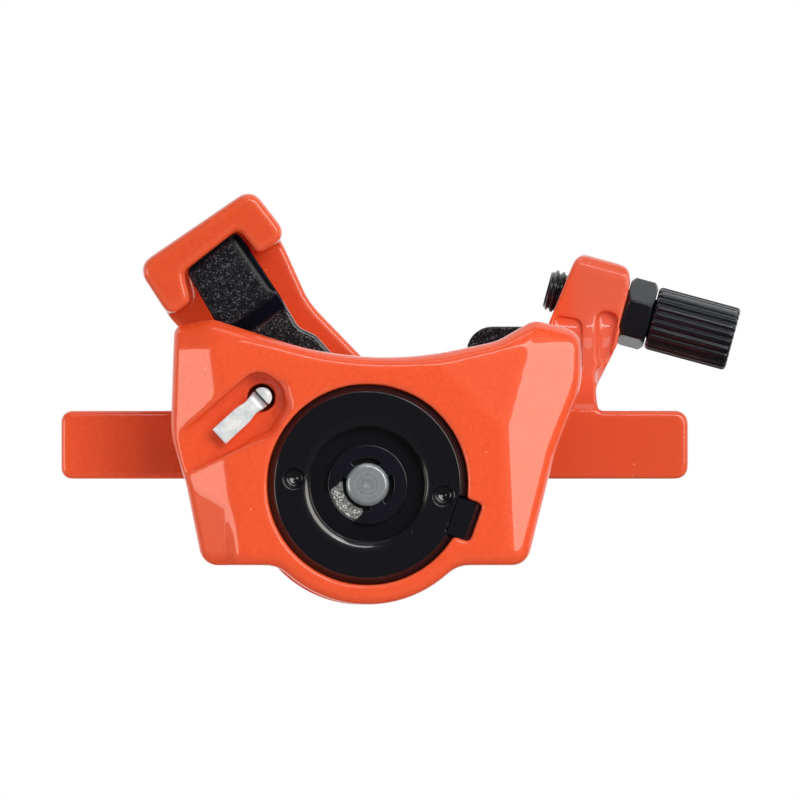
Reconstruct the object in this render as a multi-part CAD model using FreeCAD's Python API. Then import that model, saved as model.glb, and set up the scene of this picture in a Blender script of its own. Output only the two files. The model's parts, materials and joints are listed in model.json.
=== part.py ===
import FreeCAD, Part
import math
import os

from FreeCAD import Rotation, Vector

# Cable-pulled disc brake caliper of an electric scooter, in millimetres.
# X runs along the mounting ears and Z is up. Y is the axle direction: the wheel side is at
# negative Y. The origin is the pads' centre in the rotor's middle plane.

OUT_DIR = "parts"
Y_AXIS = Vector(0, 1, 0)
FAR_AWAY = 200.0
TINY = 0.01

# Rotor space and friction pads
ROTOR_CENTRE_Z = -47.0
ROTOR_SPACE_R = 62.5
SLOT_HALF = 2.2
LINING_GAP_HALF = 1.4
LINING_THICK = 2.0
PLATE_THICK = 1.8
POCKET_CLEAR = 0.35
PLATE_FRONT = LINING_GAP_HALF + LINING_THICK
PLATE_BACK = PLATE_FRONT + PLATE_THICK
POCKET_FLOOR = PLATE_BACK + 0.2

# Depths of the casting and of what fills its bores
NEAR_FACE_Y = -20.5
FAR_FACE_Y = 17.0
FAR_LOBE_CENTRE = (-0.9, -0.8)
FAR_OUTLINE_INSET = 0.8
CAP_FRONT_Y = -20.1
CAP_SEAT_Y = -14.2
CAP_FLOOR_Y = -17.5
BUSH_FLANGE_Y = -15.0
CHAMBER_FLOOR_Y = -8.6
FAR_CAVITY_END = 11.8
SPRING_RECESS_Y = 14.0

# Shape of the near half: sloping facets either side, given by three points in each plane
UNDERSIDE_Z = -13.05
FACET_LOW_Y = -12.0
LEFT_FACET = (
    Vector(-24.8, NEAR_FACE_Y, 22.0), Vector(-20.8, NEAR_FACE_Y, -9.0), Vector(-31.5, -15.9, 10.0),
)
RIGHT_FACET = (
    Vector(21.4, NEAR_FACE_Y, 21.0), Vector(22.6, NEAR_FACE_Y, -6.0), Vector(33.5, -15.7, 15.0),
)
CORNER_FACET = (
    Vector(11.8, NEAR_FACE_Y, 18.9), Vector(21.6, NEAR_FACE_Y, 8.5), Vector(25.0, -18.9, 21.0),
)
CREASE_R = 6.0
RIM_R = 2.0
LOBE_BLEND_R = 5.0

# Radii round the pad axis
LOBE_R = 19.4
BORE_R = 16.2
CAP_R = 15.9
CAP_BEVEL = 0.9
CAP_DISH_R = 9.7
CAP_DISH_FLOOR_R = 8.6
CAP_HOLE_R = 6.0
BUSH_FLANGE_R = 9.0
DIMPLES = ((-11.8, 1.0), (12.2, -1.7))
DIMPLE_R = 1.9
NOTCH_TILT = 19.5
CHAMBER_R = 14.5
PISTON_R = 11.0
KEY_HALF = 1.5
KEY_HEIGHT = 1.2
NEAR_JOURNAL_R = 3.5
FAR_JOURNAL_R = 4.5
FAR_BUSH_R = 5.6
SPRING_RECESS_INNER = 6.9
SPRING_RECESS_OUTER = 12.1
RUNNING_GAP = 0.05

# Ball ramps: three balls between each spindle and its piston
BALL_COUNT = 3
BALL_R = 1.6
BALL_PITCH_R = 6.2
BALL_PLANE_Y = 8.2
BALL_FIRST_ANGLE = 90.0
GROOVE_R = BALL_R + RUNNING_GAP
GROOVE_SWEEP = 20.0
RAMP_GAP_HALF = 0.7
PISTON_FRONT = BALL_PLANE_Y - RAMP_GAP_HALF
FLANGE_R = 9.0
FLANGE_INNER = BALL_PLANE_Y + RAMP_GAP_HALF
FLANGE_OUTER = 11.0

# Small rounding on cast outer edges
SOFT_EDGE_R = 0.8

# Arms: both turn about the pad axis and stand at this lean from upright
ARM_LEAN = 34.3
ARM_STROKE = 32.0
NEAR_ARM_FRONT_Y = -14.0
NEAR_ARM_THICK = 3.0
NEAR_ARM_JOGGLE = 2.0
WEB_FRONT_Y = 17.3
WEB_THICK = 3.5
HOOD_FRONT_Y = -18.5
HOOD_RIM_R = 1.2
HUB_R = 13.5
HUB_BACK_Y = 24.3
HUB_RECESS_DEPTH = 3.0
NEAR_HEX = 9.0
FAR_HEX = 7.6
ARM_SIDE_GAP = 0.3
ARM_REACH = 45.0
JOGGLE_START = 30.5
JOGGLE_END = 34.0
JOGGLE_CLEAR = 0.7

# Split pin
PIN_X = -17.1
PIN_Z = 14.0
PIN_HOLE_R = 1.7
PIN_MOUTH_R = 2.35
PIN_MOUTH_DEPTH = 0.7
PIN_R = 1.6
PIN_SPLIT = 0.1
PIN_BEND_TILT = 42.6
PIN_BENT_LENGTH = 9.3
PIN_BENT_FRONT_Y = -18.1
PIN_STRAIGHT_END_Y = -18.9
TROUGH_FLOOR_Y = -16.3
EYE_SEAT_Y = 9.2
EYE_R = 2.3
EYE_WIRE_R = 1.1
EYE_CLEAR = 0.9

# Ears and their holes
EAR_HOLE_X = 40.0
EAR_HOLE_R = 3.25
EAR_Y = 10.0
EAR_HALF_THICK = 6.0
EAR_TOP_Z = 11.9
EAR_SEAT_Z = 0.9
LEFT_EAR = [
    (-49.4, EAR_TOP_Z, 1.7), (-20.0, EAR_TOP_Z, 0.5), (-20.0, EAR_SEAT_Z, 0.5), (-49.4, EAR_SEAT_Z, 1.7),
]
RIGHT_EAR = [
    (20.0, EAR_TOP_Z, 0.5), (51.7, EAR_TOP_Z, 2.0), (51.7, EAR_SEAT_Z, 2.0), (20.0, EAR_SEAT_Z, 0.5),
]

# Cable adjuster: everything is on one tilted axis
ADJUSTER_TILT = 15.15
ADJUSTER_POINT = Vector(46.04, 21.6, 26.87)
BOSS_NEAR_END = -4.9
BOSS_FAR_END = -15.3
BOSS_HALF_WIDTH = 5.5
BOSS_ROUND_RISE = 1.6
SPOT_FACE_R = 6.2
STEM_FRONT_Y = 4.0
STEM_LEAN_START_Z = 12.0
STEM_LEAN_END_Z = 24.5
STEM_TOP_Z = 45.0
STEM_X_RANGE = (20.0, 50.0)
STEM_BACK_STEP = 2.0
RIGHT_POCKET_DEPTH = 1.5
LEFT_POCKET_DEPTH = 2.5
BARREL_R = 3.45
BARREL_TAIL = -17.7
BARREL_END = 12.2
BARREL_BORE_R = 1.1
SOCKET_R = 2.6
SOCKET_DEPTH = 9.0
KNOB_R = 5.2
KNOB_START = -0.2
KNOB_END = 13.4
KNOB_ROUND = 0.8
KNOB_FLUTES = 24
FLUTE_R = 0.4
FLUTE_PITCH_R = 5.3
NUT_ACROSS_FLATS = 10.0
NUT_START = BOSS_NEAR_END
NUT_THICK = 4.55
NUT_TURN = 18.2
NUT_BEVEL = 0.7
NUT_FACE_R = 4.9
KNOB_LIP_R = 2.75

# Near spindle and its clip
POST_END_Y = -19.2
CLIP_FRONT_Y = -18.5
CLIP_BACK_Y = -17.65
CLIP_GROOVE_R = 2.9
CLIP_R = 6.4
CLIP_INNER_R = 4.3
CLIP_PRONG_HALF = 1.25
CLIP_MOUTH_HALF = 3.1
CLIP_MOUTH_ANGLE = 220.0
CLIP_PRONG_ANGLES = (40.0, 145.0, 295.0)
POST_CHAMFER = 0.5
POST_CENTRE_R = 0.7

# Notch and key that lock the cap
NOTCH_SPAN = (14.6, 18.6)
NOTCH_HALF = 3.2
NOTCH_FLOOR_Y = -17.5
KEY_END_GAP = 0.2
KEY_BEVEL = 0.9

# Pads' ears, their windows in the casting and the leaf spring between them
PAD_HOLE_R = 2.2
LEFT_WINDOW_X = (-22.5, -12.0)
RIGHT_WINDOW_X = (15.3, 29.0)
WINDOW_LOW_Z = 13.0
LEAF_THICK = 0.4
LEAF_SADDLE = (-21.0, -14.2, 18.4)

# Outer arm's fasteners and cable anchor
ARM_WASHER_R = 6.0
ARM_WASHER_BACK_Y = 25.3
ARM_BOLT_SHANK_R = 2.5
ARM_BOLT_END_Y = 12.5
BOLT_END_ROOM = 0.5
ANCHOR_ACROSS = 3.2
ANCHOR_ALONG = 42.8
ANCHOR_SHANK_R = 2.5
ANCHOR_PLATE_R = 5.5
ANCHOR_PLATE_THICK = 1.8
CABLE_R = 0.8
CABLE_GROOVE_HALF = 15.0
BOLT_FLATS = 8.0
BOLT_HEAD = 3.5
BOLT_BEVEL = (0.72, 0.46)

# Return spring
SPRING_R = 9.5
SPRING_WIRE_R = 0.7
SPRING_TURNS = 2.25
SPRING_PITCH = 1.9
SPRING_START_Y = 15.0
SPRING_START_ANGLE = 200.0
SPRING_END_ANGLE = SPRING_START_ANGLE + 360.0 * (SPRING_TURNS - 2)
SPRING_TAIL = 0.4
SPRING_TAIL_ROOM = 1.5
SPRING_SAMPLES = 720

# Outlines seen from the wheel side: corners as (x, z, rounding radius)
NEAR_OUTLINE = [
    (-31.2, 25.6, 1.8), (-25.0, 26.7, 4.0), (0.0, 18.7, 55.0), (20.8, 23.1, 8.0), (26.8, 26.5, 3.0),
    (34.6, 24.6, 3.2), (34.5, 16.0, 10.0), (30.2, 5.0, 30.0), (25.7, UNDERSIDE_Z, 3.0),
    (-26.6, UNDERSIDE_Z, 3.0), (-29.3, 0.2, 10.0), (-31.8, 8.0, 12.0),
]
STEM_OUTLINE = [
    (33.6, 36.8, 2.5), (36.0, 37.5, 1.2), (42.3, 34.9, 1.8), (42.4, 32.6, 1.0), (40.3, 22.5, 3.0),
    (36.8, 15.5, 3.0), (37.3, 11.2, 1.5), (37.3, 4.0, 0.5), (24.0, 4.0, 0.5), (25.6, 17.0, 4.0),
    (29.2, 26.0, 4.0),
]
PAD_OUTLINE = [
    (13.6, -12.6, 6.0), (-13.6, -12.6, 6.0), (-14.4, 3.0, 5.0), (-21.8, 9.2, 4.0), (-21.9, 18.8, 4.3),
    (-13.4, 18.8, 3.0), (-11.8, 12.6, 1.5), (12.2, 12.6, 2.5), (15.9, 18.0, 3.0), (16.0, 25.5, 4.2),
    (28.2, 25.5, 2.2), (27.6, 15.5, 3.5), (14.8, 4.0, 6.0),
]
LINING_OUTLINE = [
    (12.3, -11.2, 5.0), (-12.3, -11.2, 5.0), (-12.3, 6.5, 4.0), (-8.4, 10.2, 3.0), (8.4, 10.2, 3.0),
    (12.3, 6.5, 4.0),
]
LEAF_OUTLINE = [
    (-21.0, 18.4, 0.8), (-14.2, 18.4, 0.8), (-13.2, 12.4, 1.5), (8.0, 12.4, 0.6), (8.0, 10.7, 0.6),
    (-21.0, 10.7, 3.0),
]
TROUGH_OUTLINE = [
    (-17.4, 19.4, 3.4), (-11.6, 13.8, 3.6), (-20.0, 6.2, 3.0), (-36.0, -1.6, 0.5), (-36.0, 2.0, 0.5),
    (-29.0, 9.0, 3.0),
]
RIGHT_POCKET = [(37.0, 28.2, 1.2), (40.6, 27.6, 1.4), (39.2, 20.6, 1.0), (37.0, 18.4, 0.8)]
LEFT_POCKET = [(30.0, 27.4, 1.0), (34.6, 26.6, 1.2), (34.6, 18.0, 1.2), (30.0, 18.0, 1.0)]
# Arms stand upright here: corners as (across, along, rounding radius)
NEAR_ARM_OUTLINE = [
    (-4.8, 44.4, 1.0), (5.7, 45.1, 1.0), (5.5, 33.0, 4.0), (5.1, 27.2, 2.0), (6.7, 24.6, 2.5),
    (8.2, 12.0, 2.0), (8.2, 2.0, 1.0), (-8.2, 2.0, 1.0), (-6.6, 9.6, 2.0), (-4.0, 14.0, 3.0),
    (-4.0, 27.6, 3.0), (-5.7, 32.0, 4.0),
]
NEAR_ARM_HUB_R = 12.0
ARM_RIGHT_WIDTH = 7.8
ARM_LEFT_INNER = 5.0
ARM_LEFT_OUTER = 6.6
WEB_OUTLINE = [
    (-11.0, 50.1, 2.6), (11.5, 50.1, 2.4), (10.5, 39.2, 2.5), (8.8, 29.6, 12.0), (13.0, 5.0, 6.0),
    (13.0, -2.0, 3.0), (-13.0, -2.0, 3.0), (-13.0, 5.0, 6.0), (-9.4, 29.0, 14.0), (-11.2, 40.0, 3.0),
]
HOOD_OUTLINE = [
    (-11.0, 50.1, 2.6), (11.5, 50.1, 2.4), (12.1, 40.2, 2.0), (6.3, 40.7, 0.8), (6.0, 45.7, 0.8),
    (-5.1, 45.0, 0.8), (-6.8, 40.4, 0.8), (-11.2, 40.2, 1.6),
]


def rounded_wire(corners, y):
    """Closed wire in the plane at y through the corners, with a tangent arc at each."""
    points = [Vector(c[0], y, c[1]) for c in corners]
    edges = []
    ends = []
    for i, corner in enumerate(corners):
        here = points[i]
        back = (points[i - 1] - here).normalize()
        ahead = (points[(i + 1) % len(points)] - here).normalize()
        half_angle = back.getAngle(ahead) / 2
        reach = corner[2] / math.tan(half_angle)
        middle = (back + ahead).normalize()
        centre = here + middle * (corner[2] / math.sin(half_angle))
        ends.append((here + back * reach, centre - middle * corner[2], here + ahead * reach))
    for i, (start, top, end) in enumerate(ends):
        edges.append(Part.Arc(start, top, end).toShape())
        edges.append(Part.LineSegment(end, ends[(i + 1) % len(ends)][0]).toShape())
    return Part.Wire(edges)


def plate(corners, y_start, y_end):
    """Prism along Y with the rounded outline."""
    face = Part.Face(rounded_wire(corners, y_start))
    return face.extrude(Vector(0, y_end - y_start, 0))


def moved_outline(corners, offset):
    """The same outline with every side moved outward by offset, for corners listed clockwise."""
    moved = []
    count = len(corners)
    for i, (x, z, radius) in enumerate(corners):
        before = corners[i - 1]
        after = corners[(i + 1) % count]
        into = Vector(x - before[0], 0, z - before[1]).normalize()
        out = Vector(after[0] - x, 0, after[1] - z).normalize()
        into_side = Vector(-into.z, 0, into.x)
        out_side = Vector(-out.z, 0, out.x)
        bisector = into_side + out_side
        shift = bisector * (2 * offset / bisector.Length ** 2)
        bends_in = into.x * out.z - into.z * out.x > 0
        change = -offset if bends_in else offset
        moved.append((x + shift.x, z + shift.z, max(radius + change, 0.3)))
    return moved


def disc(radius, y_start, y_end, x=0.0, z=0.0):
    """Round bar along Y."""
    return Part.makeCylinder(radius, y_end - y_start, Vector(x, y_start, z), Y_AXIS)


def ring(outer, inner, y_start, y_end):
    return disc(outer, y_start, y_end).cut(disc(inner, y_start, y_end))


def cone(r_start, r_end, y_start, y_end, x=0.0, z=0.0):
    return Part.makeCone(r_start, r_end, y_end - y_start, Vector(x, y_start, z), Y_AXIS)


def block(x_range, y_range, z_range):
    size = [span[1] - span[0] for span in (x_range, y_range, z_range)]
    return Part.makeBox(*size, Vector(x_range[0], y_range[0], z_range[0]))


def hexagon(across_flats, y_start, y_end):
    """Hexagonal bar along Y, with a flat at the top."""
    corner_r = across_flats / math.sqrt(3)
    angles = [math.radians(60 * i) for i in range(7)]
    points = [Vector(corner_r * math.cos(a), y_start, corner_r * math.sin(a)) for a in angles]
    return Part.Face(Part.makePolygon(points)).extrude(Vector(0, y_end - y_start, 0))


def leaned(shape):
    """Turn a shape from upright to the arms' rest position."""
    shape.rotate(Vector(0, 0, 0), Y_AXIS, -ARM_LEAN)
    return shape


def on_adjuster(shape):
    """Move a shape built along +X at the origin onto the adjuster's axis."""
    shape.rotate(Vector(0, 0, 0), Y_AXIS, ADJUSTER_TILT)
    shape.translate(ADJUSTER_POINT)
    return shape


def rod(radius, start, end):
    """Round bar along +X at the origin."""
    return Part.makeCylinder(radius, end - start, Vector(start, 0, 0), Vector(1, 0, 0))


def mirrored(shape):
    return shape.mirror(Vector(0, 0, 0), Y_AXIS)


def beyond_plane(a, b, c):
    """Thick block with one face through the three points, lying on the wheel side of them."""
    normal = (b - a).cross(c - a).normalize()
    if normal.y > 0:
        normal = normal * -1
    half = FAR_AWAY / 2
    thick = Part.makeBox(FAR_AWAY, FAR_AWAY, FAR_AWAY, Vector(-half, -half, 0))
    thick.Placement = FreeCAD.Placement(a, Rotation(Vector(0, 0, 1), normal))
    return thick


def caliper_body():
    bridge = plate(moved_outline(NEAR_OUTLINE, -FAR_OUTLINE_INSET), -SLOT_HALF, SLOT_HALF)
    bridge = bridge.fuse(disc(LOBE_R - FAR_OUTLINE_INSET, -SLOT_HALF, SLOT_HALF))
    bridge = bridge.cut(disc(ROTOR_SPACE_R, -SLOT_HALF, SLOT_HALF, z=ROTOR_CENTRE_Z))
    body = near_half().fuse([far_half(), bridge])
    for hollow in bore_hollows() + pad_hollows() + pin_hollows() + [near_arm_slot()]:
        body = body.cut(hollow)
    body = body.cut(lock_notch())
    body = body.cut(ear_hole(-EAR_HOLE_X)).cut(ear_hole(EAR_HOLE_X))
    body = body.cut(on_adjuster(rod(BARREL_R + RUNNING_GAP, BOSS_FAR_END - 2.0, BOSS_NEAR_END)))
    body = body.cut(on_adjuster(rod(SPOT_FACE_R, BOSS_NEAR_END, 0.0)))
    for pocket in stem_pockets():
        body = body.cut(pocket)
    return body.removeSplitter()


def near_half():
    """The half that faces the wheel: a soft-edged plate with two sloping side facets."""
    half = plate(NEAR_OUTLINE, NEAR_FACE_Y, -SLOT_HALF).fuse(disc(LOBE_R, NEAR_FACE_Y, -SLOT_HALF))
    half = half.removeSplitter()
    half = half.makeFillet(LOBE_BLEND_R, [edge for edge in half.Edges if at_lobe_corner(edge)])
    for facet in (LEFT_FACET, RIGHT_FACET, CORNER_FACET):
        half = half.cut(beyond_plane(*facet))
    half = half.removeSplitter()
    half = half.makeFillet(CREASE_R, creases(half))
    return half.makeFillet(RIM_R, front_rim(half))


def at_lobe_corner(edge):
    """True for the two edges along Y where the round lobe meets the flat underside."""
    box = edge.BoundBox
    along_y = box.XLength < TINY and box.ZLength < TINY
    return along_y and abs(box.ZMin - UNDERSIDE_Z) < TINY and abs(box.XMin) < LOBE_R


def creases(half):
    """The edges that two of the front surfaces share."""
    front_edges = [edge for face in half.Faces if face.normalAt(0, 0).y < -0.5 for edge in face.Edges]
    shared = []
    for i, edge in enumerate(front_edges):
        if any(edge.isSame(other) for other in front_edges[i + 1:]):
            shared.append(edge)
    return shared


def front_rim(half):
    """The edges where the side wall meets the front surfaces."""
    rim = []
    for face in half.Faces:
        u_low, u_high, v_low, v_high = face.ParameterRange
        if abs(face.normalAt((u_low + u_high) / 2, (v_low + v_high) / 2).y) > TINY:
            continue
        for edge in face.Edges:
            box = edge.BoundBox
            if box.YMax < FACET_LOW_Y and max(box.XLength, box.ZLength) > TINY:
                rim.append(edge)
    return rim


def far_half():
    """The half away from the wheel, with the ears and the stem of the cable adjuster."""
    half = plate(moved_outline(NEAR_OUTLINE, -FAR_OUTLINE_INSET), SLOT_HALF, FAR_FACE_Y)
    half = half.fuse(disc(LOBE_R - FAR_OUTLINE_INSET, SLOT_HALF, FAR_FACE_Y, *FAR_LOBE_CENTRE))
    return half.fuse([ear(LEFT_EAR), ear(RIGHT_EAR), stem()]).removeSplitter()


def ear(corners):
    flat = plate(corners, EAR_Y - EAR_HALF_THICK, EAR_Y + EAR_HALF_THICK)
    return flat.makeFillet(SOFT_EDGE_R, [edge for edge in flat.Edges if edge.BoundBox.YLength < TINY])


def ear_hole(x):
    return Part.makeCylinder(EAR_HOLE_R, FAR_AWAY, Vector(x, EAR_Y, -FAR_AWAY / 2))


def side_profile(points, x_start, x_end):
    """Prism along X from a side view given as (y, z) points."""
    corners = [Vector(x_start, y, z) for y, z in points]
    return Part.Face(Part.makePolygon(corners + corners[:1])).extrude(Vector(x_end - x_start, 0, 0))


def stem():
    """Leaning upright that carries the adjuster boss, rounded over the top."""
    boss_front = ADJUSTER_POINT.y - BOSS_HALF_WIDTH
    boss_back = ADJUSTER_POINT.y + BOSS_HALF_WIDTH
    side = [
        (STEM_FRONT_Y, 0.0), (STEM_FRONT_Y, STEM_LEAN_START_Z), (boss_front, STEM_LEAN_END_Z),
        (boss_front, STEM_TOP_Z), (boss_back, STEM_TOP_Z), (boss_back, STEM_LEAN_END_Z),
        (FAR_FACE_Y, STEM_LEAN_START_Z + STEM_BACK_STEP), (FAR_FACE_Y, 0.0),
    ]
    upright = plate(STEM_OUTLINE, 0.0, boss_back).common(side_profile(side, *STEM_X_RANGE))
    length = 2 * STEM_TOP_Z
    start = Vector(-STEM_TOP_Z, 0, BOSS_ROUND_RISE)
    above = Part.makeBox(length, length, length, Vector(-STEM_TOP_Z, -STEM_TOP_Z, BOSS_ROUND_RISE))
    dome = Part.makeCylinder(BOSS_HALF_WIDTH, length, start, Vector(1, 0, 0))
    return upright.cut(on_adjuster(above.cut(dome)))


def stem_pockets():
    """Shallow pockets either side of the stem's upright rib, following its lean."""
    pockets = []
    boss_front = ADJUSTER_POINT.y - BOSS_HALF_WIDTH
    for corners, depth in ((RIGHT_POCKET, RIGHT_POCKET_DEPTH), (LEFT_POCKET, LEFT_POCKET_DEPTH)):
        side = [
            (0.0, 0.0), (STEM_FRONT_Y + depth, 0.0), (STEM_FRONT_Y + depth, STEM_LEAN_START_Z),
            (boss_front + depth, STEM_LEAN_END_Z), (boss_front + depth, STEM_TOP_Z), (0.0, STEM_TOP_Z),
        ]
        pockets.append(plate(corners, 0.0, boss_front + depth).common(side_profile(side, *STEM_X_RANGE)))
    return pockets


def bore_hollows():
    """Bores round the pad axis, from the screwed cap to the far bush."""
    key_depth = PISTON_R + KEY_HEIGHT + 0.1
    key_side = KEY_HALF + RUNNING_GAP
    piston_bore_r = PISTON_R + RUNNING_GAP
    return [
        disc(BORE_R, NEAR_FACE_Y - 1.0, CAP_SEAT_Y),
        disc(CHAMBER_R, CAP_SEAT_Y, CHAMBER_FLOOR_Y),
        disc(piston_bore_r, CHAMBER_FLOOR_Y, -PLATE_BACK),
        disc(piston_bore_r, PLATE_BACK, FAR_CAVITY_END),
        block((-key_side, key_side), (CHAMBER_FLOOR_Y, -PLATE_BACK), (-key_depth, 0.0)),
        block((-key_side, key_side), (PLATE_BACK, FAR_CAVITY_END), (-key_depth, 0.0)),
        disc(FAR_BUSH_R, FAR_CAVITY_END, FAR_FACE_Y),
        ring(SPRING_RECESS_OUTER, SPRING_RECESS_INNER, SPRING_RECESS_Y, FAR_FACE_Y),
        spring_tail_hole(SPRING_START_ANGLE, SPRING_RECESS_Y - SPRING_TAIL_ROOM, SPRING_RECESS_Y),
    ]


def pad_hollows():
    """Pockets for the backing plates and the two windows in the top that their ears reach into."""
    pocket = moved_outline(PAD_OUTLINE, POCKET_CLEAR)
    depth = (-POCKET_FLOOR, POCKET_FLOOR)
    return [
        plate(pocket, -POCKET_FLOOR, -SLOT_HALF),
        plate(pocket, SLOT_HALF, POCKET_FLOOR),
        block(LEFT_WINDOW_X, depth, (WINDOW_LOW_Z, FAR_AWAY)),
        block(RIGHT_WINDOW_X, depth, (WINDOW_LOW_Z, FAR_AWAY)),
    ]


def pin_hollows():
    """Hole for the split pin, the pocket for its eye, and the trough for its bent leg."""
    return [
        disc(PIN_HOLE_R, NEAR_FACE_Y, FAR_FACE_Y, PIN_X, PIN_Z),
        cone(PIN_MOUTH_R, PIN_HOLE_R, TROUGH_FLOOR_Y, TROUGH_FLOOR_Y + PIN_MOUTH_DEPTH, PIN_X, PIN_Z),
        disc(EYE_R + EYE_WIRE_R + EYE_CLEAR, EYE_SEAT_Y, FAR_FACE_Y, PIN_X, PIN_Z),
        plate(TROUGH_OUTLINE, NEAR_FACE_Y - 1.0, TROUGH_FLOOR_Y),
    ]


def near_arm_slot():
    """Slot in the top wall, as wide as the near arm sweeps, deeper where the arm is joggled."""
    front = NEAR_ARM_FRONT_Y - ARM_SIDE_GAP
    back = NEAR_ARM_FRONT_Y + NEAR_ARM_THICK + ARM_SIDE_GAP
    inner = swept_sector(ARM_LEFT_INNER, front, back)
    outer = swept_sector(ARM_LEFT_OUTER, front - NEAR_ARM_JOGGLE, back)
    return inner.fuse(outer.cut(disc(JOGGLE_START - JOGGLE_CLEAR, front - NEAR_ARM_JOGGLE, back)))


def swept_sector(left_width, y_start, y_end):
    """Prism over the ground that an upright bar covers as it turns through the arms' stroke."""
    rest = math.radians(90 + ARM_LEAN)
    stop = math.radians(90 + ARM_LEAN - ARM_STROKE)
    left = Vector(math.cos(rest), 0, math.sin(rest))
    right = Vector(math.cos(stop), 0, math.sin(stop))
    left_side = Vector(-left.z, 0, left.x) * left_width
    right_side = Vector(right.z, 0, -right.x) * ARM_RIGHT_WIDTH
    left_end = left_side + left * ARM_REACH
    right_end = right_side + right * ARM_REACH
    corners = [Vector(0, 0, 0), left_side, left_end, right_end, right_side]
    points = [Vector(c.x, y_start, c.z) for c in corners]
    return Part.Face(Part.makePolygon(points + points[:1])).extrude(Vector(0, y_end - y_start, 0))


def lock_notch():
    """Block across the rim of the bore, cut into the casting and the cap for the lock key."""
    notch = block(NOTCH_SPAN, (NEAR_FACE_Y - 1.0, NOTCH_FLOOR_Y), (-NOTCH_HALF, NOTCH_HALF))
    notch.rotate(Vector(0, 0, 0), Y_AXIS, NOTCH_TILT)
    return notch


def near_cap():
    """Screwed cap with a bevelled rim, a dished middle and two pin-spanner dimples."""
    bevel_y = CAP_FRONT_Y + CAP_BEVEL
    cap = disc(CAP_R, bevel_y, CAP_SEAT_Y).fuse(cone(CAP_R - CAP_BEVEL, CAP_R, CAP_FRONT_Y, bevel_y))
    cap = cap.cut(cone(CAP_DISH_R, CAP_DISH_FLOOR_R, CAP_FRONT_Y, CAP_FLOOR_Y))
    cap = cap.cut(disc(CAP_HOLE_R, CAP_FLOOR_Y, CAP_SEAT_Y))
    cap = cap.cut(disc(BUSH_FLANGE_R + RUNNING_GAP, BUSH_FLANGE_Y, CAP_SEAT_Y))
    drill_y = CAP_FRONT_Y + DIMPLE_R / 2
    for x, z in DIMPLES:
        cap = cap.cut(disc(DIMPLE_R, CAP_FRONT_Y, drill_y, x, z))
        cap = cap.cut(cone(DIMPLE_R, 0.0, drill_y, drill_y + DIMPLE_R / 2, x, z))
    return cap.cut(lock_notch()).removeSplitter()


def cap_lock_key():
    """Key that stops the cap from turning, bevelled along its outer edge."""
    bar = block(NOTCH_SPAN, (CAP_FRONT_Y, NOTCH_FLOOR_Y), (-NOTCH_HALF, NOTCH_HALF - KEY_END_GAP))
    outer_front = [edge for edge in bar.Edges if at_outer_front(edge.BoundBox)]
    bar = bar.makeChamfer(KEY_BEVEL, outer_front)
    bar.rotate(Vector(0, 0, 0), Y_AXIS, NOTCH_TILT)
    return bar


def at_outer_front(box):
    """True for the key's edge that is outermost and in front, before the key is turned."""
    return box.XMin > NOTCH_SPAN[1] - TINY and box.YMax < CAP_FRONT_Y + TINY


def near_bush():
    """Sintered bush with a flange between the arm and the cap."""
    sleeve = disc(CAP_HOLE_R - RUNNING_GAP, CAP_FLOOR_Y + 0.1, BUSH_FLANGE_Y)
    bush = sleeve.fuse(disc(BUSH_FLANGE_R, BUSH_FLANGE_Y, NEAR_ARM_FRONT_Y - RUNNING_GAP))
    return bush.cut(disc(NEAR_JOURNAL_R + RUNNING_GAP, CAP_FRONT_Y, NEAR_ARM_FRONT_Y)).removeSplitter()


def around(angle, side):
    """Point on the balls' pitch circle, angle in degrees from +X towards +Z."""
    turn = math.radians(angle)
    return Vector(BALL_PITCH_R * math.cos(turn), side * BALL_PLANE_Y, BALL_PITCH_R * math.sin(turn))


def ball_angles():
    return [BALL_FIRST_ANGLE + 360.0 / BALL_COUNT * i for i in range(BALL_COUNT)]


def cut_grooves(solid, side, turn):
    """Cut the grooves that the balls roll along: one per ball, reaching round by turn degrees."""
    for start in ball_angles():
        first, middle, last = [around(start + turn * part, side) for part in (0.0, 0.5, 1.0)]
        tangent = first.cross(Y_AXIS)
        path = Part.Wire([Part.Arc(first, middle, last).toShape()])
        section = Part.Wire([Part.Circle(first, tangent, GROOVE_R).toShape()])
        groove = path.makePipeShell([section], True, False)
        for end in (first, last):
            groove = groove.fuse(Part.makeSphere(GROOVE_R, end))
        solid = solid.cut(groove)
    return solid.removeSplitter()


def near_spindle():
    """Turned steel spindle: clip groove, journal, hexagon for the arm, and the ramp flange."""
    bevel_y = POST_END_Y + POST_CHAMFER
    post = disc(NEAR_JOURNAL_R, bevel_y, NEAR_ARM_FRONT_Y)
    post = post.fuse(cone(NEAR_JOURNAL_R - POST_CHAMFER, NEAR_JOURNAL_R, POST_END_Y, bevel_y))
    groove = (CLIP_FRONT_Y - RUNNING_GAP, CLIP_BACK_Y + RUNNING_GAP)
    post = post.cut(ring(CLIP_INNER_R, CLIP_GROOVE_R, *groove))
    post = post.cut(cone(POST_CENTRE_R, 0.0, POST_END_Y, POST_END_Y + POST_CENTRE_R))
    spindle = post.fuse(hexagon(NEAR_HEX, NEAR_ARM_FRONT_Y, -FLANGE_OUTER))
    spindle = spindle.fuse(disc(FLANGE_R, -FLANGE_OUTER, -FLANGE_INNER))
    return cut_grooves(spindle, -1, GROOVE_SWEEP)


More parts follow.
